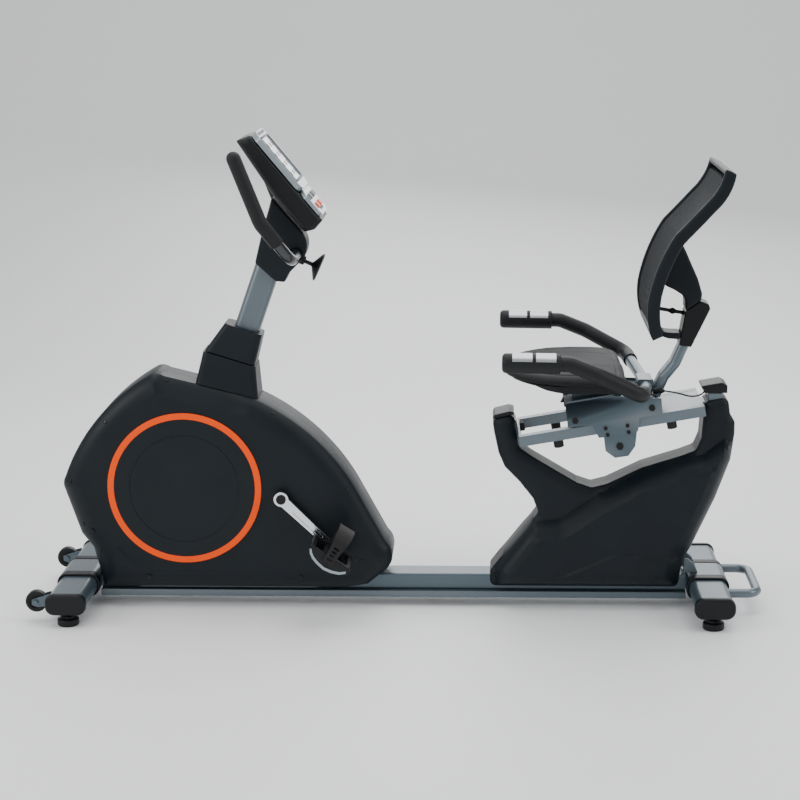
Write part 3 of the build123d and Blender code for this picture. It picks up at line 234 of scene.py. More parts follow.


# The edge amounts below are a painted highlight: they lighten convex edges towards grey.
MATS = {
    "frame_paint": make_mat("frame_paint", (0.070, 0.102, 0.124), 0.34, metal=0.45, grain=0.05,
                            edge_highlight=0.3, coat=0.25),
    "light_paint": make_mat("light_paint", (0.115, 0.150, 0.174), 0.33, metal=0.45, grain=0.05,
                            edge_highlight=0.25, coat=0.25),
    "cover_plastic": make_mat("cover_plastic", (0.0022, 0.0055, 0.0088), 0.44, grain=0.12, grain_scale=1400,
                              edge_highlight=0.01, vary=0.2, spec=0.22),
    "accent_orange": make_mat("accent_orange", (0.92, 0.075, 0.0), 0.5, vary=0.04, spec=0.12),
    "disc_plastic": make_mat("disc_plastic", (0.0022, 0.0056, 0.009), 0.36, grain=0.08, grain_scale=1400,
                             vary=0.2, spec=0.22),
    "black_plastic": make_mat("black_plastic", (0.0035, 0.0048, 0.006), 0.40, grain=0.12, grain_scale=1100,
                              edge_highlight=0.015, spec=0.25),
    "black_bolt": make_mat("black_bolt", (0.0015, 0.0015, 0.002), 0.35, grain=0.1, spec=0.3),
    "black_paint": make_mat("black_paint", (0.009, 0.011, 0.014), 0.26, grain=0.04, coat=0.4, edge_highlight=0.05),
    "rubber": make_mat("rubber", (0.007, 0.007, 0.008), 0.6, grain=0.25, grain_scale=1500, spec=0.3),
    "foam": make_mat("foam", (0.004, 0.005, 0.0062), 0.5, grain=0.45, grain_scale=1300, spec=0.3),
    "steel": brushed("steel", (0.50, 0.53, 0.56), 0.30),
    "chrome": make_mat("chrome", (0.70, 0.72, 0.75), 0.18, metal=1.0, vary=0.03),
    "cast_iron": make_mat("cast_iron", (0.10, 0.10, 0.105), 0.5, metal=0.8, grain=0.4, grain_scale=500),
    "silver_plastic": make_mat("silver_plastic", (0.27, 0.32, 0.35), 0.28, metal=0.35, coat=0.4, vary=0.03),
    "screen": make_mat("screen", (0.40, 0.46, 0.49), 0.12, coat=0.8, vary=0.02),
    "key_plastic": make_mat("key_plastic", (0.10, 0.115, 0.125), 0.5, vary=0.05),
    "key_red": make_mat("key_red", (0.80, 0.075, 0.012), 0.45, vary=0.05),
    "seat_cover": leather("seat_cover", (0.0045, 0.0058, 0.0072)),
    "back_mesh": woven("back_mesh", (0.0042, 0.0062, 0.0082)),
}
slot_of = {s["node"]: s["material_slot"] for s in frame["record"]["subparts"]}


def dress(obj, slot_name):
    obj.data.materials.clear()
    obj.data.materials.append(MATS[slot_name])


# ------------------------------------------------------------------ mesh helpers
def add_object(name, verts, faces, slot_name, angle=35.0):
    mesh = bpy.data.meshes.new(name)
    mesh.from_pydata([tuple(v) for v in verts], [], faces)
    mesh.validate()
    ob = bpy.data.objects.new(name, mesh)
    bpy.context.scene.collection.objects.link(ob)
    finish_mesh(ob, angle)
    dress(ob, slot_name)
    return ob


def finish_mesh(ob, angle=35.0):
    """Shades a mesh smooth, apart from edges sharper than the angle."""
    bm = bmesh.new()
    bm.from_mesh(ob.data)
    bmesh.ops.recalc_face_normals(bm, faces=bm.faces)
    limit = math.radians(angle)
    for f in bm.faces:
        f.smooth = True
    for e in bm.edges:
        e.smooth = not (len(e.link_faces) == 2 and e.calc_face_angle(0) > limit)
    bm.to_mesh(ob.data)
    bm.free()


def apply_modifiers(ob):
    deps = bpy.context.evaluated_depsgraph_get()
    mesh = bpy.data.meshes.new_from_object(ob.evaluated_get(deps))
    ob.modifiers.clear()
    old = ob.data
    ob.data = mesh
    bpy.data.meshes.remove(old)


def stand_in(ob, node):
    """Shows a copy in its CAD node's place, with the node's material slot and body."""
    dress(ob, slot_of[node])
    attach(ob, body_of[node])
    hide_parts(node)


def refine(node, width, segments):
    """A copy of a CAD node with its hard edges softened, standing in for the node."""
    src = nodes[node]
    mesh = src.data.copy()
    mesh.name = node + "_soft"
    ob = bpy.data.objects.new(node + "_soft", mesh)
    bpy.context.scene.collection.objects.link(ob)
    ob.matrix_world = src.matrix_world.copy()
    bm = bmesh.new()
    bm.from_mesh(mesh)
    bmesh.ops.remove_doubles(bm, verts=bm.verts, dist=1e-5)
    bmesh.ops.dissolve_limit(bm, angle_limit=math.radians(0.4), verts=bm.verts, edges=bm.edges)
    bm.to_mesh(mesh)
    bm.free()
    mod = ob.modifiers.new("bevel", "BEVEL")
    mod.width = width
    mod.segments = segments if width < 0.008 else 5
    mod.use_clamp_overlap = True
    mod.limit_method = "ANGLE"
    mod.angle_limit = math.radians(32.0)
    mod.harden_normals = False
    apply_modifiers(ob)
    finish_mesh(ob, 38.0)
    weigh(ob)
    stand_in(ob, node)


def weigh(ob):
    mod = ob.modifiers.new("weighted", "WEIGHTED_NORMAL")
    mod.keep_sharp = True
    apply_modifiers(ob)


def rounded(node, voxel, rounds):
    """A copy of a moulded CAD node with every edge well rounded, standing in for the node."""
    src = nodes[node]
    ob = bpy.data.objects.new(node + "_round", src.data.copy())
    bpy.context.scene.collection.objects.link(ob)
    mod = ob.modifiers.new("remesh", "REMESH")
    mod.mode = "VOXEL"
    mod.voxel_size = voxel
    apply_modifiers(ob)
    mod = ob.modifiers.new("smooth", "SMOOTH")
    mod.factor = 0.5
    mod.iterations = rounds
    apply_modifiers(ob)
    mod = ob.modifiers.new("decimate", "DECIMATE")
    mod.ratio = 0.35
    apply_modifiers(ob)
    finish_mesh(ob, 60.0)
    stand_in(ob, node)


body_of = {}
for body, members in frame["record"]["behaviour"]["bodies"].items():
    for member in members:
        body_of[member] = body


def arc3(a, b, c, step=8.0):
    """Points from a to c on the circle through b, in millimetres, leaving out c."""
    ax, az, bx, bz, cx, cz = *a, *b, *c
    d = 2 * (ax * (bz - cz) + bx * (cz - az) + cx * (az - bz))
    ux = ((ax**2 + az**2) * (bz - cz) + (bx**2 + bz**2) * (cz - az) + (cx**2 + cz**2) * (az - bz)) / d
    uz = ((ax**2 + az**2) * (cx - bx) + (bx**2 + bz**2) * (ax - cx) + (cx**2 + cz**2) * (bx - ax)) / d
    r = math.hypot(ax - ux, az - uz)
    t0 = math.atan2(az - uz, ax - ux)
    t1 = math.atan2(bz - uz, bx - ux)
    t2 = math.atan2(cz - uz, cx - ux)
    ccw = ((t1 - t0) % (2 * math.pi)) < ((t2 - t0) % (2 * math.pi))
    sweep = (t2 - t0) % (2 * math.pi) if ccw else -((t0 - t2) % (2 * math.pi))
    n = max(2, int(abs(sweep) * r / step))
    turns = [t0 + sweep * i / n for i in range(n)]
    return [(ux + r * math.cos(t), uz + r * math.sin(t)) for t in turns]


def line2(a, b, step=8.0):
    n = max(1, int(math.hypot(b[0] - a[0], b[1] - a[1]) / step))
    return [(a[0] + (b[0] - a[0]) * i / n, a[1] + (b[1] - a[1]) * i / n) for i in range(n)]


def round_corners(points, radius, step=6.0):
    """Closed outline of straight runs with each corner turned into an arc of about that radius."""
    out = []
    n = len(points)
    for i in range(n):
        p, q, r = Vector(points[i - 1]), Vector(points[i]), Vector(points[(i + 1) % n])
        u, v = (p - q), (r - q)
        lu, lv = u.length, v.length
        u.normalize()
        v.normalize()
        half = u.angle(v) / 2
        if half > math.radians(86):
            out.append(tuple(q))
            continue
        t = min(radius / math.tan(half), 0.45 * lu, 0.45 * lv)
        a, c = q + u * t, q + v * t
        rr = t * math.tan(half)
        m = (u + v).normalized()
        b = q + m * (rr / math.sin(half) - rr)
        out += arc3(tuple(a), tuple(b), tuple(c), step)
        out.append(tuple(c))
    return out


def densify(points, step=8.0):
    """Closed outline with extra points along each straight run."""
    out = []
    for i in range(len(points)):
        out += line2(points[i], points[(i + 1) % len(points)], step)
    return out


def distance_to(points, x, z):
    """Distance from a point to a closed outline."""
    best = 1e9
    n = len(points)
    for i in range(n):
        ax, az = points[i]
        bx, bz = points[(i + 1) % n]
        dx, dz = bx - ax, bz - az
        l2 = dx * dx + dz * dz
        t = 0.0 if l2 == 0 else max(0.0, min(1.0, ((x - ax) * dx + (z - az) * dz) / l2))
        d = math.hypot(ax + dx * t - x, az + dz * t - z)
        if d < best:
            best = d
    return best


def inside(points, x, z):
    hit = False
    n = len(points)
    for i in range(n):
        ax, az = points[i]
        bx, bz = points[(i + 1) % n]
        if (az > z) != (bz > z) and x < (bx - ax) * (z - az) / (bz - az) + ax:
            hit = not hit
    return hit


def rings_of(outline, distances):
    """Points inside the outline at the given distances from it."""
    out = []
    n = len(outline)
    after = outline[1:] + outline[:1]
    area2 = sum(a[0] * b[1] - b[0] * a[1] for a, b in zip(outline, after))
    side = 1 if area2 > 0 else -1
    for i in range(n):
        a, b, c = outline[i - 1], outline[i], outline[(i + 1) % n]
        tx, tz = c[0] - a[0], c[1] - a[1]
        length = math.hypot(tx, tz)
        nx, nz = -tz / length * side, tx / length * side
        for d in distances:
            x, z = b[0] + nx * d, b[1] + nz * d
            if inside(outline, x, z) and abs(distance_to(outline, x, z) - d) < 0.06 * d + 0.3:
                out.append((x, z))
    return out


def height_shell(name, outline, height, extra, spacing, sign, slot_name, base=0.4, angle=28.0):
    """One half of a housing: a side wall up from the mid-plane and a face whose depth is height(x, z)."""
    pts = [Vector(p) for p in outline]
    n = len(pts)
    edges = [(i, (i + 1) % n) for i in range(n)]
    xs = [p[0] for p in outline]
    zs = [p[1] for p in outline]
    inner = list(extra)
    x = min(xs)
    row = 0
    while x < max(xs):
        z = min(zs) + (spacing / 2 if row % 2 else 0)
        while z < max(zs):
            if inside(outline, x, z) and distance_to(outline, x, z) > spacing * 0.6:
                inner.append((x, z))
            z += spacing
        x += spacing
        row += 1
    keep = []
    grid = {}
    for p in inner:
        key = (int(p[0] // 4), int(p[1] // 4))
        near = False
        for i in (-1, 0, 1):
            for j in (-1, 0, 1):
                for q in grid.get((key[0] + i, key[1] + j), ()):
                    if math.hypot(q[0] - p[0], q[1] - p[1]) < 2.6:
                        near = True
        if not near:
            grid.setdefault(key, []).append(p)
            keep.append(p)
    pts += [Vector(p) for p in keep]
    vs, _, fs, *_ = delaunay_2d_cdt(pts, edges, [], 1, 1e-4)
    verts = []
    for v in vs:
        verts.append((v[0] / 1000, sign * height(v[0], v[1]) / 1000, v[1] / 1000))
    faces = [tuple(f) for f in fs]
    rim = {}
    count = {}
    for f in faces:
        for a, b in zip(f, f[1:] + f[:1]):
            count[(min(a, b), max(a, b))] = count.get((min(a, b), max(a, b)), 0) + 1
    border = [e for e, c in count.items() if c == 1]
    for a, b in border:
        for i in (a, b):
            if i not in rim:
                rim[i] = len(verts)
                verts.append((vs[i][0] / 1000, sign * base / 1000, vs[i][1] / 1000))
        faces.append((a, b, rim[b], rim[a]))
    return add_object(name, verts, faces, slot_name, angle=angle)


# ------------------------------------------------------------------ front housing
FRONT = [(-122, 52), (-724, 52), (-735, 104), (-748, 152), (-775, 187)]
front_line = []
for i in range(len(FRONT) - 1):
    front_line += line2(FRONT[i], FRONT[i + 1])
front_line += line2((-775, 187), (-812, 298))
front_line += arc3((-812, 298), (-815, 314), (-810, 330), 5)
front_line += arc3((-810, 330), (-722, 480), (-598, 582))
front_line += arc3((-598, 582), (-582, 587), (-563, 581), 5)
front_line += line2((-563, 581), (-351, 529))
front_line += arc3((-351, 529), (-205, 434), (-89, 282))
front_line += line2((-89, 282), (-28, 170))
front_line += arc3((-28, 170), (-12, 134), (-25, 101))
front_line += line2((-25, 101), (-73, 61))
front_line += line2((-73, 61), (-122, 52))


def smooth01(t):
    t = max(0.0, min(1.0, t))
    return t * t * (3 - 2 * t)


def along(points, x, z):
    """Distance from a point to an open line."""
    best = 1e9
    for (ax, az), (bx, bz) in zip(points, points[1:]):
        dx, dz = bx - ax, bz - az
        t = max(0.0, min(1.0, ((x - ax) * dx + (z - az) * dz) / (dx * dx + dz * dz)))
        best = min(best, math.hypot(ax + dx * t - x, az + dz * t - z))
    return best


def seam_points(lines):
    """Points on each line and just to either side, so that the mesh can fold in a groove there."""
    out = []
    for line in lines:
        for (ax, az), (bx, bz) in zip(line, line[1:]):
            n = max(1, int(math.hypot(bx - ax, bz - az) / 6))
            length = math.hypot(bx - ax, bz - az)
            for i in range(n + 1):
                for off in (-2.8, 0.0, 2.8):
                    x = ax + (bx - ax) * i / n - (bz - az) / length * off
                    z = az + (bz - az) * i / n + (bx - ax) / length * off
                    out.append((x, z))
    return out


LOW_SEAM = arc3((-682, 158), (-640, 116), (-581, 97), 10) + line2((-581, 97), (-237, 92), 12) + [(-237, 92)]


FRONT_HALF_WIDTH, REAR_HALF_WIDTH = 87.0, 91.0


def front_height(x, z):
    """Depth of the front housing's face: a soft bevel, crisper along the top, and a low groove."""
    d = distance_to(front_line, x, z)
    t = max(0.0, min(1.0, d / 50.0))
    soft = 58.0 + 29.0 * (1 - (1 - t) ** 2.1) ** 0.75
    top = smooth01((x + 590) / 34) * smooth01((-345 - x) / 70) * smooth01((z - 440) / 30)
    crisp = 56.0 + 31.0 * max(0.0, min(1.0, d / 44.0)) ** 0.85
    h = min(soft * (1 - top) + crisp * top, FRONT_HALF_WIDTH)
    if along(LOW_SEAM, x, z) < 1.5:
        h -= 0.9
    return h


front_rings = rings_of(front_line, (2.0, 5.0, 10.0, 17.0, 26.0, 37.0, 44.0, 47.0, 51.0))
front_rings += seam_points((LOW_SEAM,))
for side, sign in (("left", -1), ("right", 1)):
    shell = height_shell(f"front_housing_{side}", front_line, front_height, front_rings, 26.0, sign,
                         "cover_plastic")
    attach(shell, "frame")
    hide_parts(f"front_shroud_{side}")


def screw_set(name, places, height):
    """Recessed dark screw heads lying on the moulded face."""
    sides = 20
    verts, faces = [], []
    for x, z in places:
        for sign in (-1, 1):
            c = Vector((x, sign * height(x, z), z))
            gx = height(x + 4, z) - height(x - 4, z)
            gz = height(x, z + 4) - height(x, z - 4)
            nrm = Vector((-gx / 8, sign, -gz / 8)).normalized()
            a = nrm.orthogonal().normalized()
            b = nrm.cross(a)
            start = len(verts)
            prof = ((5.2, 0.2), (5.0, 1.1), (3.9, 1.3), (3.3, 0.4), (0.0, 0.3))
            for r, up in prof:
                for k in range(sides):
                    t = 2 * math.pi * k / sides
                    p = c + nrm * up + a * (r * math.cos(t)) + b * (r * math.sin(t))
                    verts.append(tuple(p / 1000))
            for i in range(len(prof) - 1):
                low, high = start + i * sides, start + (i + 1) * sides
                for k in range(sides):
                    k2 = (k + 1) % sides
                    faces.append((low + k, low + k2, high + k2, high + k))
    return add_object(name, verts, faces, slot_of["shroud_screws"], angle=30)


SCREWS = [(-554, 572), (-704, 472), (-795, 322), (-298, 494), (-119, 307), (-84, 126),
          (-768, 214), (-728, 150)]
covers = screw_set("housing_screws", SCREWS, front_height)
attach(covers, "frame")

# ------------------------------------------------------------------ rear housing
REAR = [(228, 52), (228, 92), (251, 122), (316, 200), (345, 240), (332, 275), (298, 318), (262, 355),
        (247, 390), (236, 440), (231, 474), (284, 486), (290, 440), (296, 404), (330, 380),
        (438, 316), (475, 303), (512, 313), (598, 355), (690, 384), (726, 398), (738, 428),
        (744, 520), (800, 530), (806, 488), (818, 470), (818, 440), (810, 376), (775, 278),
        (721, 158), (700, 120), (690, 52)]
BODY = [(240, 52), (240, 100), (306, 198), (330, 217), (398, 227), (465, 273), (489, 289), (581, 339),
        (677, 377), (740, 389), (814, 446), (810, 376), (775, 278), (721, 158), (700, 120), (690, 52)]
LOW = [(350, 56), (372, 78), (534, 150), (572, 150), (592, 138), (694, 138), (688, 56)]
rear_line = densify(round_corners(REAR, 14.0), 7.0)
body_line = densify(round_corners(BODY, 16.0), 9.0)
low_line = densify(LOW, 9.0)


def rear_height(x, z):
    """Depth of the rear housing's face: a thin border, a fuller body and a raised low panel."""
    d = distance_to(rear_line, x, z)
    t = max(0.0, min(1.0, d / 24.0))
    h = 38.0 + 12.0 * (1 - (1 - t) ** 2) ** 0.6
    if inside(body_line, x, z):
        e = max(0.0, min(1.0, distance_to(body_line, x, z) / 40.0))
        h += 37.0 * (0.45 * e + 0.55 * (1 - (1 - e) ** 2.6))
        if inside(low_line, x, z):
            h += 3.5 * max(0.0, min(1.0, distance_to(low_line, x, z) / 6.0)) * min(1.0, d / 20.0)
    return min(h, REAR_HALF_WIDTH)


rear_extra = rings_of(rear_line, (2.5, 7.0, 14.0, 23.0)) + body_line
rear_extra += rings_of(body_line, (5.0, 12.0, 20.0, 30.0, 40.0)) + low_line + rings_of(low_line, (6.0,))
rear_extra = [p for p in rear_extra if inside(rear_line, *p) and distance_to(rear_line, *p) > 2.0]
for side, sign in (("left", -1), ("right", 1)):
    shell = height_shell(f"rear_housing_{side}", rear_line, rear_height, rear_extra, 24.0, sign,
                         "cover_plastic", angle=24.0)
    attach(shell, "frame")
    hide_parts(f"rear_shroud_{side}")

# ------------------------------------------------------------------ seat cushion
seat_half = arc3((258, 0), (281, 115), (341, 180)) + arc3((341, 180), (388, 199), (440, 205)) \
    + line2((440, 205), (500, 203)) + arc3((500, 203), (537, 188), (548, 150)) + line2((548, 150), (552, 0))
mirrored = seat_half + [(x, -y) for x, y in reversed(seat_half[1:])]
seat_line = [p for i, p in enumerate(mirrored) if math.dist(p, mirrored[i - 1]) > 0.5]


def dome(name, outline, top, bottom, spacing, rings, slot_name):
    """Closed cushion: crowned top, rounded side and a flatter underside."""
    pts = [Vector(p) for p in outline]
    n = len(pts)
    edges = [(i, (i + 1) % n) for i in range(n)]
    xs = [p[0] for p in outline]
    ys = [p[1] for p in outline]
    inner = rings_of(outline, rings)
    x = min(xs)
    while x < max(xs):
        y = min(ys)
        while y < max(ys):
            if inside(outline, x, y) and distance_to(outline, x, y) > rings[-1] + spacing * 0.5:
                inner.append((x, y))
            y += spacing
        x += spacing
    pts += [Vector(p) for p in inner]
    vs, _, fs, *_ = delaunay_2d_cdt(pts, edges, [], 1, 1e-4)
    verts = []
    for v in vs:
        verts.append((v[0] / 1000, v[1] / 1000, top(v[0], v[1]) / 1000))
    faces = [tuple(f) for f in fs]
    off = len(verts)
    for v in vs:
        verts.append((v[0] / 1000, v[1] / 1000, bottom(v[0], v[1]) / 1000))
    faces += [tuple(i + off for i in reversed(f)) for f in fs]
    ob = add_object(name, verts, faces, slot_name, angle=80.0)
    bm = bmesh.new()
    bm.from_mesh(ob.data)
    bmesh.ops.remove_doubles(bm, verts=bm.verts, dist=2e-5)
    bm.to_mesh(ob.data)
    bm.free()
    finish_mesh(ob, 80.0)
    return ob


SEAT_SEAM_Z = 592.0


def seat_top(x, y):
    d = distance_to(seat_line, x, y)
    t = min(1.0, d / 52.0)
    rise = (1 - (1 - t) ** 2.4) ** 0.55
    crown = 21.0
    dish = 3.5 * smooth01(1 - math.hypot((x - 430) / 120, y / 150))
    back_fall = 5.0 * smooth01((x - 470) / 90)
    seam = 0.0
    if 20.0 < d < 25.0:
        seam = 1.0 * (1 - abs(d - 22.5) / 2.5)
    return SEAT_SEAM_Z + crown * rise - dish - back_fall - seam


def seat_bottom(x, y):
    d = distance_to(seat_line, x, y)
    t = min(1.0, d / 14.0)
    return SEAT_SEAM_Z - 7.0 * (1 - (1 - t) ** 2.2) ** 0.6


def puff(ob, voxel, cap, pressure):
    """Swell a closed pad with cloth pressure, hold each point to the cap, then smooth it once."""
    mod = ob.modifiers.new("remesh", "REMESH")
    mod.mode = "VOXEL"
    mod.voxel_size = voxel
    apply_modifiers(ob)
    start = [v.co.copy() for v in ob.data.vertices]
    mod = ob.modifiers.new("cloth", "CLOTH")
    mod.settings.use_pressure = True
    mod.settings.uniform_pressure_force = pressure
    mod.settings.effector_weights.gravity = 0
    mod.point_cache.frame_start = 1
    mod.point_cache.frame_end = 20
    for f in range(1, 21):
        bpy.context.scene.frame_set(f)
    apply_modifiers(ob)
    bpy.context.scene.frame_set(1)
    if len(ob.data.vertices) == len(start):
        for v, p in zip(ob.data.vertices, start):
            d = v.co - p
            if d.length > cap:
                d = d.normalized() * cap
            v.co = p + d
    mod = ob.modifiers.new("smooth", "SMOOTH")
    mod.factor = 0.5
    mod.iterations = 3
    apply_modifiers(ob)
    mod = ob.modifiers.new("subdivision", "SUBSURF")
    mod.levels = 1
    mod.render_levels = 1
    apply_modifiers(ob)
    finish_mesh(ob, 80.0)


cushion = dome("seat_pad", seat_line, seat_top, seat_bottom, 12.0,
               (1.0, 3.0, 6.0, 10.0, 15.0, 19.5, 22.5, 25.5, 32.0, 40.0, 50.0), "seat_cover")
puff(cushion, voxel=0.0055, cap=0.007, pressure=0.5)
low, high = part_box("seat_cushion")
PROUD = 0.004
for v in cushion.data.vertices:
    x, y = v.co.x * 1000, v.co.y * 1000
    if v.co.z > 0.594:
        d = distance_to(seat_line, x, y)
        v.co.z -= 0.0016 * math.exp(-((d - 24.0) / 2.6) ** 2)
        v.co.z -= 0.0012 * math.exp(-((abs(y) - 78.0) / 3.0) ** 2) * smooth01((d - 30) / 12)
    v.co.z = max(v.co.z, low.z)
    v.co.x = min(max(v.co.x, low.x - PROUD), high.x + PROUD)
    v.co.y = min(max(v.co.y, low.y - PROUD), high.y + PROUD)
dress(cushion, "seat_cover")
finish_mesh(cushion, 80.0)
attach(cushion, "carriage")
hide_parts("seat_cushion")

# ------------------------------------------------------------------ backrest pad
FRONT_LINE = ((762, 1092), (752, 1058), (722, 1015), (686, 976), (650, 938), (616, 872), (595, 805),
              (590, 752), (604, 690))
BACK_LINE = ((788, 1080), (778, 1044), (743, 994), (708, 956), (672, 918), (643, 860), (624, 799),
             (620, 752), (628, 701))


def spine(points, n):
    """n points evenly spaced along the arcs through nine points."""
    out = []
    for i in range(0, 8, 2):
        out += arc3(points[i], points[i + 1], points[i + 2], 3.0)
    out.append(points[8])
    acc = [0.0]
    for a, b in zip(out, out[1:]):
        acc.append(acc[-1] + math.hypot(b[0] - a[0], b[1] - a[1]))
    res = []
    for k in range(n):
        s = acc[-1] * k / (n - 1)
        j = max(i for i in range(len(acc)) if acc[i] <= s + 1e-9)
        j = min(j, len(out) - 2)
        t = (s - acc[j]) / (acc[j + 1] - acc[j])
        a, b = out[j], out[j + 1]
        res.append((a[0] + (b[0] - a[0]) * t, a[1] + (b[1] - a[1]) * t))
    return res


ROWS, COLS = 90, 60
front_s, back_s = spine(FRONT_LINE, ROWS), spine(BACK_LINE, ROWS)


def back_pad():
    """Mesh-faced pad, slightly hollow across its width, with a sewn edge."""
    half, lo, hi = 152.4, 4, ROWS - 5
    verts, faces = [], []

    def point(i, j, t):
        f, b = front_s[i], back_s[i]
        y = -half + 2 * half * j / (COLS - 1)
        return (f[0] + (b[0] - f[0]) * t, y, f[1] + (b[1] - f[1]) * t)

    for layer in (0, 1):
        for i in range(lo, hi + 1):
            for j in range(COLS):
                u = abs(2 * j / (COLS - 1) - 1)
                v = (i - lo) / (hi - lo)
                edge = min((1 - u) * half, min(v, 1 - v) * 430)
                if layer == 0:
                    t = 0.20 + 0.16 * (1 - u * u) * smooth01(min(v, 1 - v) * 6)
                    t -= 0.10 * smooth01(edge / 22.0)
                    t += 0.34 * (1 - smooth01(edge / 9.0)) ** 2
                    if 14 < edge < 19:
                        t += 0.05
                else:
                    t = 0.79
                x, y, z = point(i, j, t)
                verts.append((x / 1000, y / 1000, z / 1000))
    per = (hi - lo + 1) * COLS
    rows = hi - lo + 1
    for i in range(rows - 1):
        for j in range(COLS - 1):
            a = i * COLS + j
            faces.append((a, a + 1, a + COLS + 1, a + COLS))
            faces.append((per + a, per + a + COLS, per + a + COLS + 1, per + a + 1))
    for i in range(rows - 1):
        for j in (0, COLS - 1):
            a = i * COLS + j
            faces.append((a, a + COLS, per + a + COLS, per + a))
    for j in range(COLS - 1):
        for i in (0, rows - 1):
            a = i * COLS + j
            faces.append((a, a + 1, per + a + 1, per + a))
    return add_object("back_pad", verts, faces, "back_mesh", angle=70.0)


pad = back_pad()
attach(pad, "carriage")
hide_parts("backrest_pad")

# ------------------------------------------------------------------ pedal straps, pedal trims, front sleeves
TILT = math.radians(33.0)
U, N = Vector((math.cos(TILT), 0, -math.sin(TILT))), Vector((math.sin(TILT), 0, math.cos(TILT)))
PEDALS = {"left": (Vector((-0.1557, 0, 0.1709)), -1), "right": (Vector((-0.4003, 0, 0.4071)), 1)}


def slab(name, corners, slot_name, width=0.0006):
    """A small block from eight corners, edges softened."""
    faces = [(0, 1, 2, 3), (7, 6, 5, 4), (0, 4, 5, 1), (1, 5, 6, 2), (2, 6, 7, 3), (3, 7, 4, 0)]
    ob = add_object(name, corners, faces, slot_name, angle=30)
    mod = ob.modifiers.new("bevel", "BEVEL")
    mod.width = width
    mod.segments = 2
    apply_modifiers(ob)
    finish_mesh(ob, 40)
    dress(ob, slot_name)
    return ob


def strap_mesh(side):
    """Ribbed strap over a pedal, with four slots toward its outer end."""
    at, sign = PEDALS[side]
    line = [(138, n) for n in (-4, 12, 28, 44)]
    for i in range(1, 16):
        a = math.pi * i / 16
        line.append((187 - 49 * math.cos(a), 44 + 33 * math.sin(a)))
    line += [(236, n) for n in (44, 40, 34, 30, 24, 20, 14, 10, 4, -4)]
    cross = [-1.0, -0.45, 0.45, 1.0]
    verts, faces = [], []
    count = len(line)
    slots = {count - 9, count - 7, count - 5, count - 3}
    for i, (y, n) in enumerate(line):
        py, pn = line[max(0, i - 1)]
        qy, qn = line[min(count - 1, i + 1)]
        t = Vector((qy - py, qn - pn)).normalized()
        oy, on = -t.y, t.x
        half = 14.0 + 6.0 * smooth01((n - 20) / 55)
        ridge = 0.5 if i % 2 else 0.0
        for k in (0.2, -(2.6 + ridge) + 0.2):
            for c in cross:
                p = at + U * (c * half / 1000) + N * ((n - on * k) / 1000)
                verts.append((p.x, sign * (y - oy * k) / 1000, p.z))
    for i in range(count - 1):
        for c in range(3):
            if i in slots and c == 1:
                continue
            for layer in (0, 4):
                a = i * 8 + layer + c
                faces.append((a, a + 1, a + 9, a + 8))
        for c in (0, 3):
            a = i * 8 + c
            faces.append((a, a + 4, a + 12, a + 8))
        if i in slots:
            for c in (1, 2):
                a = i * 8 + c
                faces.append((a, a + 4, a + 12, a + 8))
            for j in (i, i + 1):
                a = j * 8 + 1
                faces.append((a, a + 1, a + 5, a + 4))
    for j in (0, count - 1):
        for c in range(3):
            a = j * 8 + c
            faces.append((a, a + 1, a + 5, a + 4))
    ob = add_object(f"strap_{side}", verts, faces, "rubber", angle=40)
    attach(ob, f"pedal_{side}_body")
    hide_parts(f"pedal_strap_{side}")


for side in PEDALS:
    strap_mesh(side)
    at, sign = PEDALS[side]
    rim = [(-54, 3), (-47, -7), (-36, -14.5), (-20, -20), (0, -23.5), (20, -20.5), (38, -13.5), (50, -3)]
    lip = [(48, 2.5), (36, -7.5), (19, -14), (0, -17), (-19, -14), (-34, -9), (-44, -2), (-50, 5)]
    verts = []
    for y in (233.2, 235.4):
        for u, n in rim + lip:
            q = at + U * (u / 1000) + N * (n / 1000)
            verts.append((q.x, sign * y / 1000, q.z))
    m = len(rim)
    faces = [(i, i + 1, 2 * m - 2 - i, 2 * m - 1 - i) for i in range(m - 1)]
    faces += [tuple(i + 2 * m for i in reversed(f)) for f in faces[:]]
    faces += [(i, (i + 1) % (2 * m), (i + 1) % (2 * m) + 2 * m, i + 2 * m) for i in range(2 * m)]
    trim = add_object(f"pedal_{side}_trim", verts, faces, "silver_plastic", angle=30)
    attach(trim, f"pedal_{side}_body")


def tube(points, radius, segments=28):
    """Round sleeve along a smoothed path with a domed far end."""
    path = [Vector(p) for p in points]
    for _ in range(4):
        nxt = [path[0]]
        for a, b in zip(path, path[1:]):
            nxt += [a.lerp(b, 0.25), a.lerp(b, 0.75)]
        nxt.append(path[-1])
        path = nxt
    verts, faces = [], []
    side_dir = None
    run = 0.0
    tip = path[0]
    first = (path[1] - path[0]).normalized()
    stations = [(tip + first * (radius * (1 - math.cos(a))), radius * math.sin(a), first)
                for a in (0.02, 0.3, 0.6, 0.9, 1.2, math.pi / 2)]
    for i in range(1, len(path)):
        run += (path[i] - path[i - 1]).length
        if run < radius * 1.05:
            continue
        t = (path[min(len(path) - 1, i + 1)] - path[i - 1]).normalized()
        stations.append((path[i], radius, t))
    p, _, t = stations[-1]
    stations.append((p + t * 0.0002, radius * 0.84, t))
    for p, r, t in stations:
        if side_dir is None:
            side_dir = t.orthogonal().normalized()
        side_dir = (side_dir - t * side_dir.dot(t)).normalized()
        up = t.cross(side_dir)
        for k in range(segments):
            a = 2 * math.pi * k / segments
            verts.append(tuple(p + side_dir * (r * math.cos(a)) + up * (r * math.sin(a))))
    for i in range(len(stations) - 1):
        for k in range(segments):
            faces.append((i * segments + k, i * segments + (k + 1) % segments,
                          (i + 1) * segments + (k + 1) % segments, (i + 1) * segments + k))
    faces.append(tuple(range(segments)))
    return verts, faces


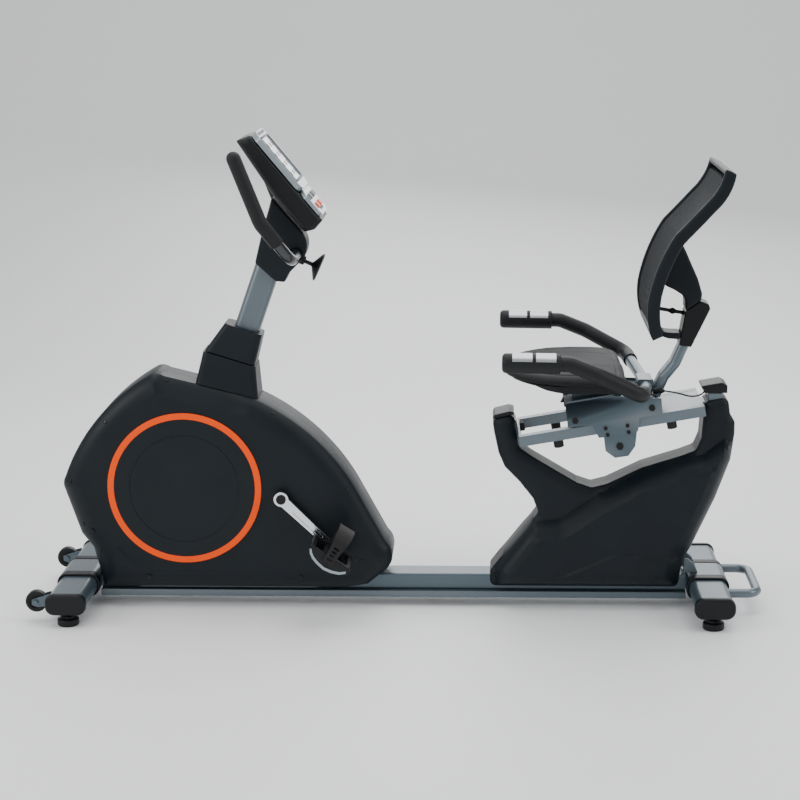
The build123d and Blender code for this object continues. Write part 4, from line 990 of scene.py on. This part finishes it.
verts, faces = [], []
for sign in (-1, 1):
    top = Vector((-0.3668, sign * 0.215, 1.1332))
    knee = Vector((-0.303, sign * 0.215, 0.970))
    crown = Vector((-0.240, sign * 0.150, 0.874))
    v, f = tube([top, top.lerp(knee, 0.5), knee + (top - knee) * 0.15, knee, knee.lerp(crown, 0.1),
                 knee.lerp(crown, 0.3), knee.lerp(crown, 0.52)], 0.0168)
    faces += [tuple(i + len(verts) for i in g) for g in f]
    verts += v
grips = add_object("front_sleeves", verts, faces, "foam", angle=50)
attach(grips, "front_bar")
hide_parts("front_grips")

# ------------------------------------------------------------------ console details
FACE_TOP, FACE_FOOT = (-338, 1160), (-177, 966)
FACE_ANGLE = math.atan2(FACE_FOOT[1] - FACE_TOP[1], FACE_FOOT[0] - FACE_TOP[0])


def face_point(u, y, n):
    """A point u down the console's face, y across it and n out from it."""
    x = FACE_TOP[0] + u * math.cos(FACE_ANGLE) - n * math.sin(FACE_ANGLE)
    z = FACE_TOP[1] + u * math.sin(FACE_ANGLE) + n * math.cos(FACE_ANGLE)
    return (x / 1000, y / 1000, z / 1000)


def face_slab(name, u0, u1, y0, y1, n0, n1, slot_name):
    corners = [face_point(u, y, n) for n in (n0, n1) for u, y in ((u0, y0), (u1, y0), (u1, y1), (u0, y1))]
    ob = slab(name, corners, slot_name, 0.0005)
    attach(ob, "frame")


for name, span in {"top": (19, 24.5, -67, 67), "bottom": (148, 154, -67, 67), "left": (24.5, 148, -67, -62),
                   "right": (24.5, 148, 62, 67)}.items():
    face_slab(f"bezel_{name}", *span, 12.9, 14.2, "black_plastic")
for i in range(4):
    u = 40 + i * 28
    for k, y in enumerate((-46, -4, 34)):
        face_slab(f"readout_{i}_{k}", u, u + 12, y, y + 16, 10.9, 11.25, "key_plastic")
for k, y in enumerate((-58, -14, 14, 58)):
    u0, u1 = (232, 240) if abs(y) < 20 else (192, 206)
    face_slab(f"small_key_{k}", u0, u1, y - 6, y + 6, 8.9, 10.6, "key_plastic")
for k, y in enumerate((-42, 0, 42)):
    face_slab(f"air_slot_{k}", 6, 14, y - 16, y + 16, 12.9, 13.5, "black_plastic")

# ------------------------------------------------------------------ softened CAD pieces
SOFT = {
    "mast_boots": 0.006, "seat_bar_grips": 0.009, "pulse_pads": 0.0006, "console_face": 0.0022,
    "pedal_left": 0.0022, "pedal_right": 0.0022, "crankset": 0.0018, "clamp_knob": 0.0018,
    "carriage_frame": 0.0012, "seat_rails": 0.0012, "uprights": 0.003, "rail_stops": 0.002,
    "main_beam": 0.0015, "stabilizers": 0.001, "stabilizer_collars": 0.003, "stabilizer_caps": 0.001,
    "levelling_feet": 0.0015, "seat_lever": 0.003, "seat_pan": 0.003, "button_up": 0.0012,
    "button_down": 0.0012, "button_mode": 0.0012, "button_reset": 0.0012, "accent_rings": 0.0012,
    "crank_caps": 0.001, "tension_motor": 0.002, "seat_rollers_front": 0.002,
    "seat_rollers_rear": 0.002, "back_support": 0.001,
}
for node, voxel, rounds in (("backrest_frame", 0.0032, 6), ("back_block", 0.002, 8), ("mast_head", 0.0022, 8),
                            ("console_shell", 0.0025, 22), ("upright_caps", 0.002, 8)):
    rounded(node, voxel, rounds)
for node, width in SOFT.items():
    refine(node, width, 3 if width > 0.0025 else 2)

for node, ob in nodes.items():
    dress(ob, slot_of[node])

# ------------------------------------------------------------------ pulse lead
ROUTE = ((0.646, -0.047, 0.547), (0.676, -0.047, 0.543), (0.712, -0.044, 0.531), (0.742, -0.044, 0.540),
         (0.744, -0.041, 0.552))
LEAD_RADIUS = 0.002
PLUG_AT = (0.618, -0.047, 0.547)


def nurbs(name, points, bevel):
    data = bpy.data.curves.new(name, "CURVE")
    data.dimensions = "3D"
    data.bevel_depth = bevel
    data.bevel_resolution = 4
    data.resolution_u = 16
    data.use_fill_caps = True
    s = data.splines.new("NURBS")
    s.points.add(len(points) - 1)
    for p, q in zip(s.points, points):
        p.co = (*q, 1)
    s.order_u = 3
    s.use_endpoint_u = True
    ob = bpy.data.objects.new(name, data)
    bpy.context.scene.collection.objects.link(ob)
    return ob


def to_mesh(curve):
    deps = bpy.context.evaluated_depsgraph_get()
    return bpy.data.meshes.new_from_object(curve.evaluated_get(deps))


centre = nurbs("lead_centre", ROUTE, 0.0)
path = [tuple(v.co) for v in to_mesh(centre).vertices]
bpy.data.objects.remove(centre)
fat = nurbs("lead_round", ROUTE, LEAD_RADIUS)
lead_mesh = to_mesh(fat)
bpy.data.objects.remove(fat)
lead = bpy.data.objects.new("pulse_lead", lead_mesh)
bpy.context.scene.collection.objects.link(lead)
finish_mesh(lead)
dress(lead, "rubber")
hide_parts("pulse_cable")

plug_profile = [(0.0, 0.0), (0.0062, 0.0005), (0.0066, 0.004), (0.0066, 0.011), (0.0054, 0.0125),
                (0.0066, 0.014), (0.0066, 0.020), (0.0046, 0.024), (0.0032, 0.028), (0.0, 0.0282)]
verts, faces = [], []
SEG = 32
for r, x in plug_profile:
    for k in range(SEG):
        a = 2 * math.pi * k / SEG
        verts.append((PLUG_AT[0] + x, PLUG_AT[1] + r * math.cos(a), PLUG_AT[2] + r * math.sin(a)))
for i in range(len(plug_profile) - 1):
    for k in range(SEG):
        faces.append((i * SEG + k, i * SEG + (k + 1) % SEG, (i + 1) * SEG + (k + 1) % SEG, (i + 1) * SEG + k))
plug = add_object("lead_plug", verts, faces, "black_plastic")
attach(plug, "carriage")
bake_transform(lead)

# ------------------------------------------------------------------ floor
floor_mat = make_mat("floor", (0.86, 0.87, 0.88), 0.55, vary=0.01)
# Flat under the object, then curving up into a wall behind it.
profile = [(-9.0, 0.0), (2.6, 0.0)]
sweep_angles = [math.radians(t) for t in range(5, 91, 5)]
profile += [(2.6 + 2.2 * math.sin(t), 2.2 - 2.2 * math.cos(t)) for t in sweep_angles]
profile.append((4.8, 9.0))
fv = [(x, y, z) for y, z in profile for x in (-12, 12)]
fm = bpy.data.meshes.new("floor")
fm.from_pydata(fv, [], [(2 * i, 2 * i + 1, 2 * i + 3, 2 * i + 2) for i in range(len(profile) - 1)])
for poly in fm.polygons:
    poly.use_smooth = True
floor = bpy.data.objects.new("floor", fm)
bpy.context.scene.collection.objects.link(floor)
fm.materials.append(floor_mat)
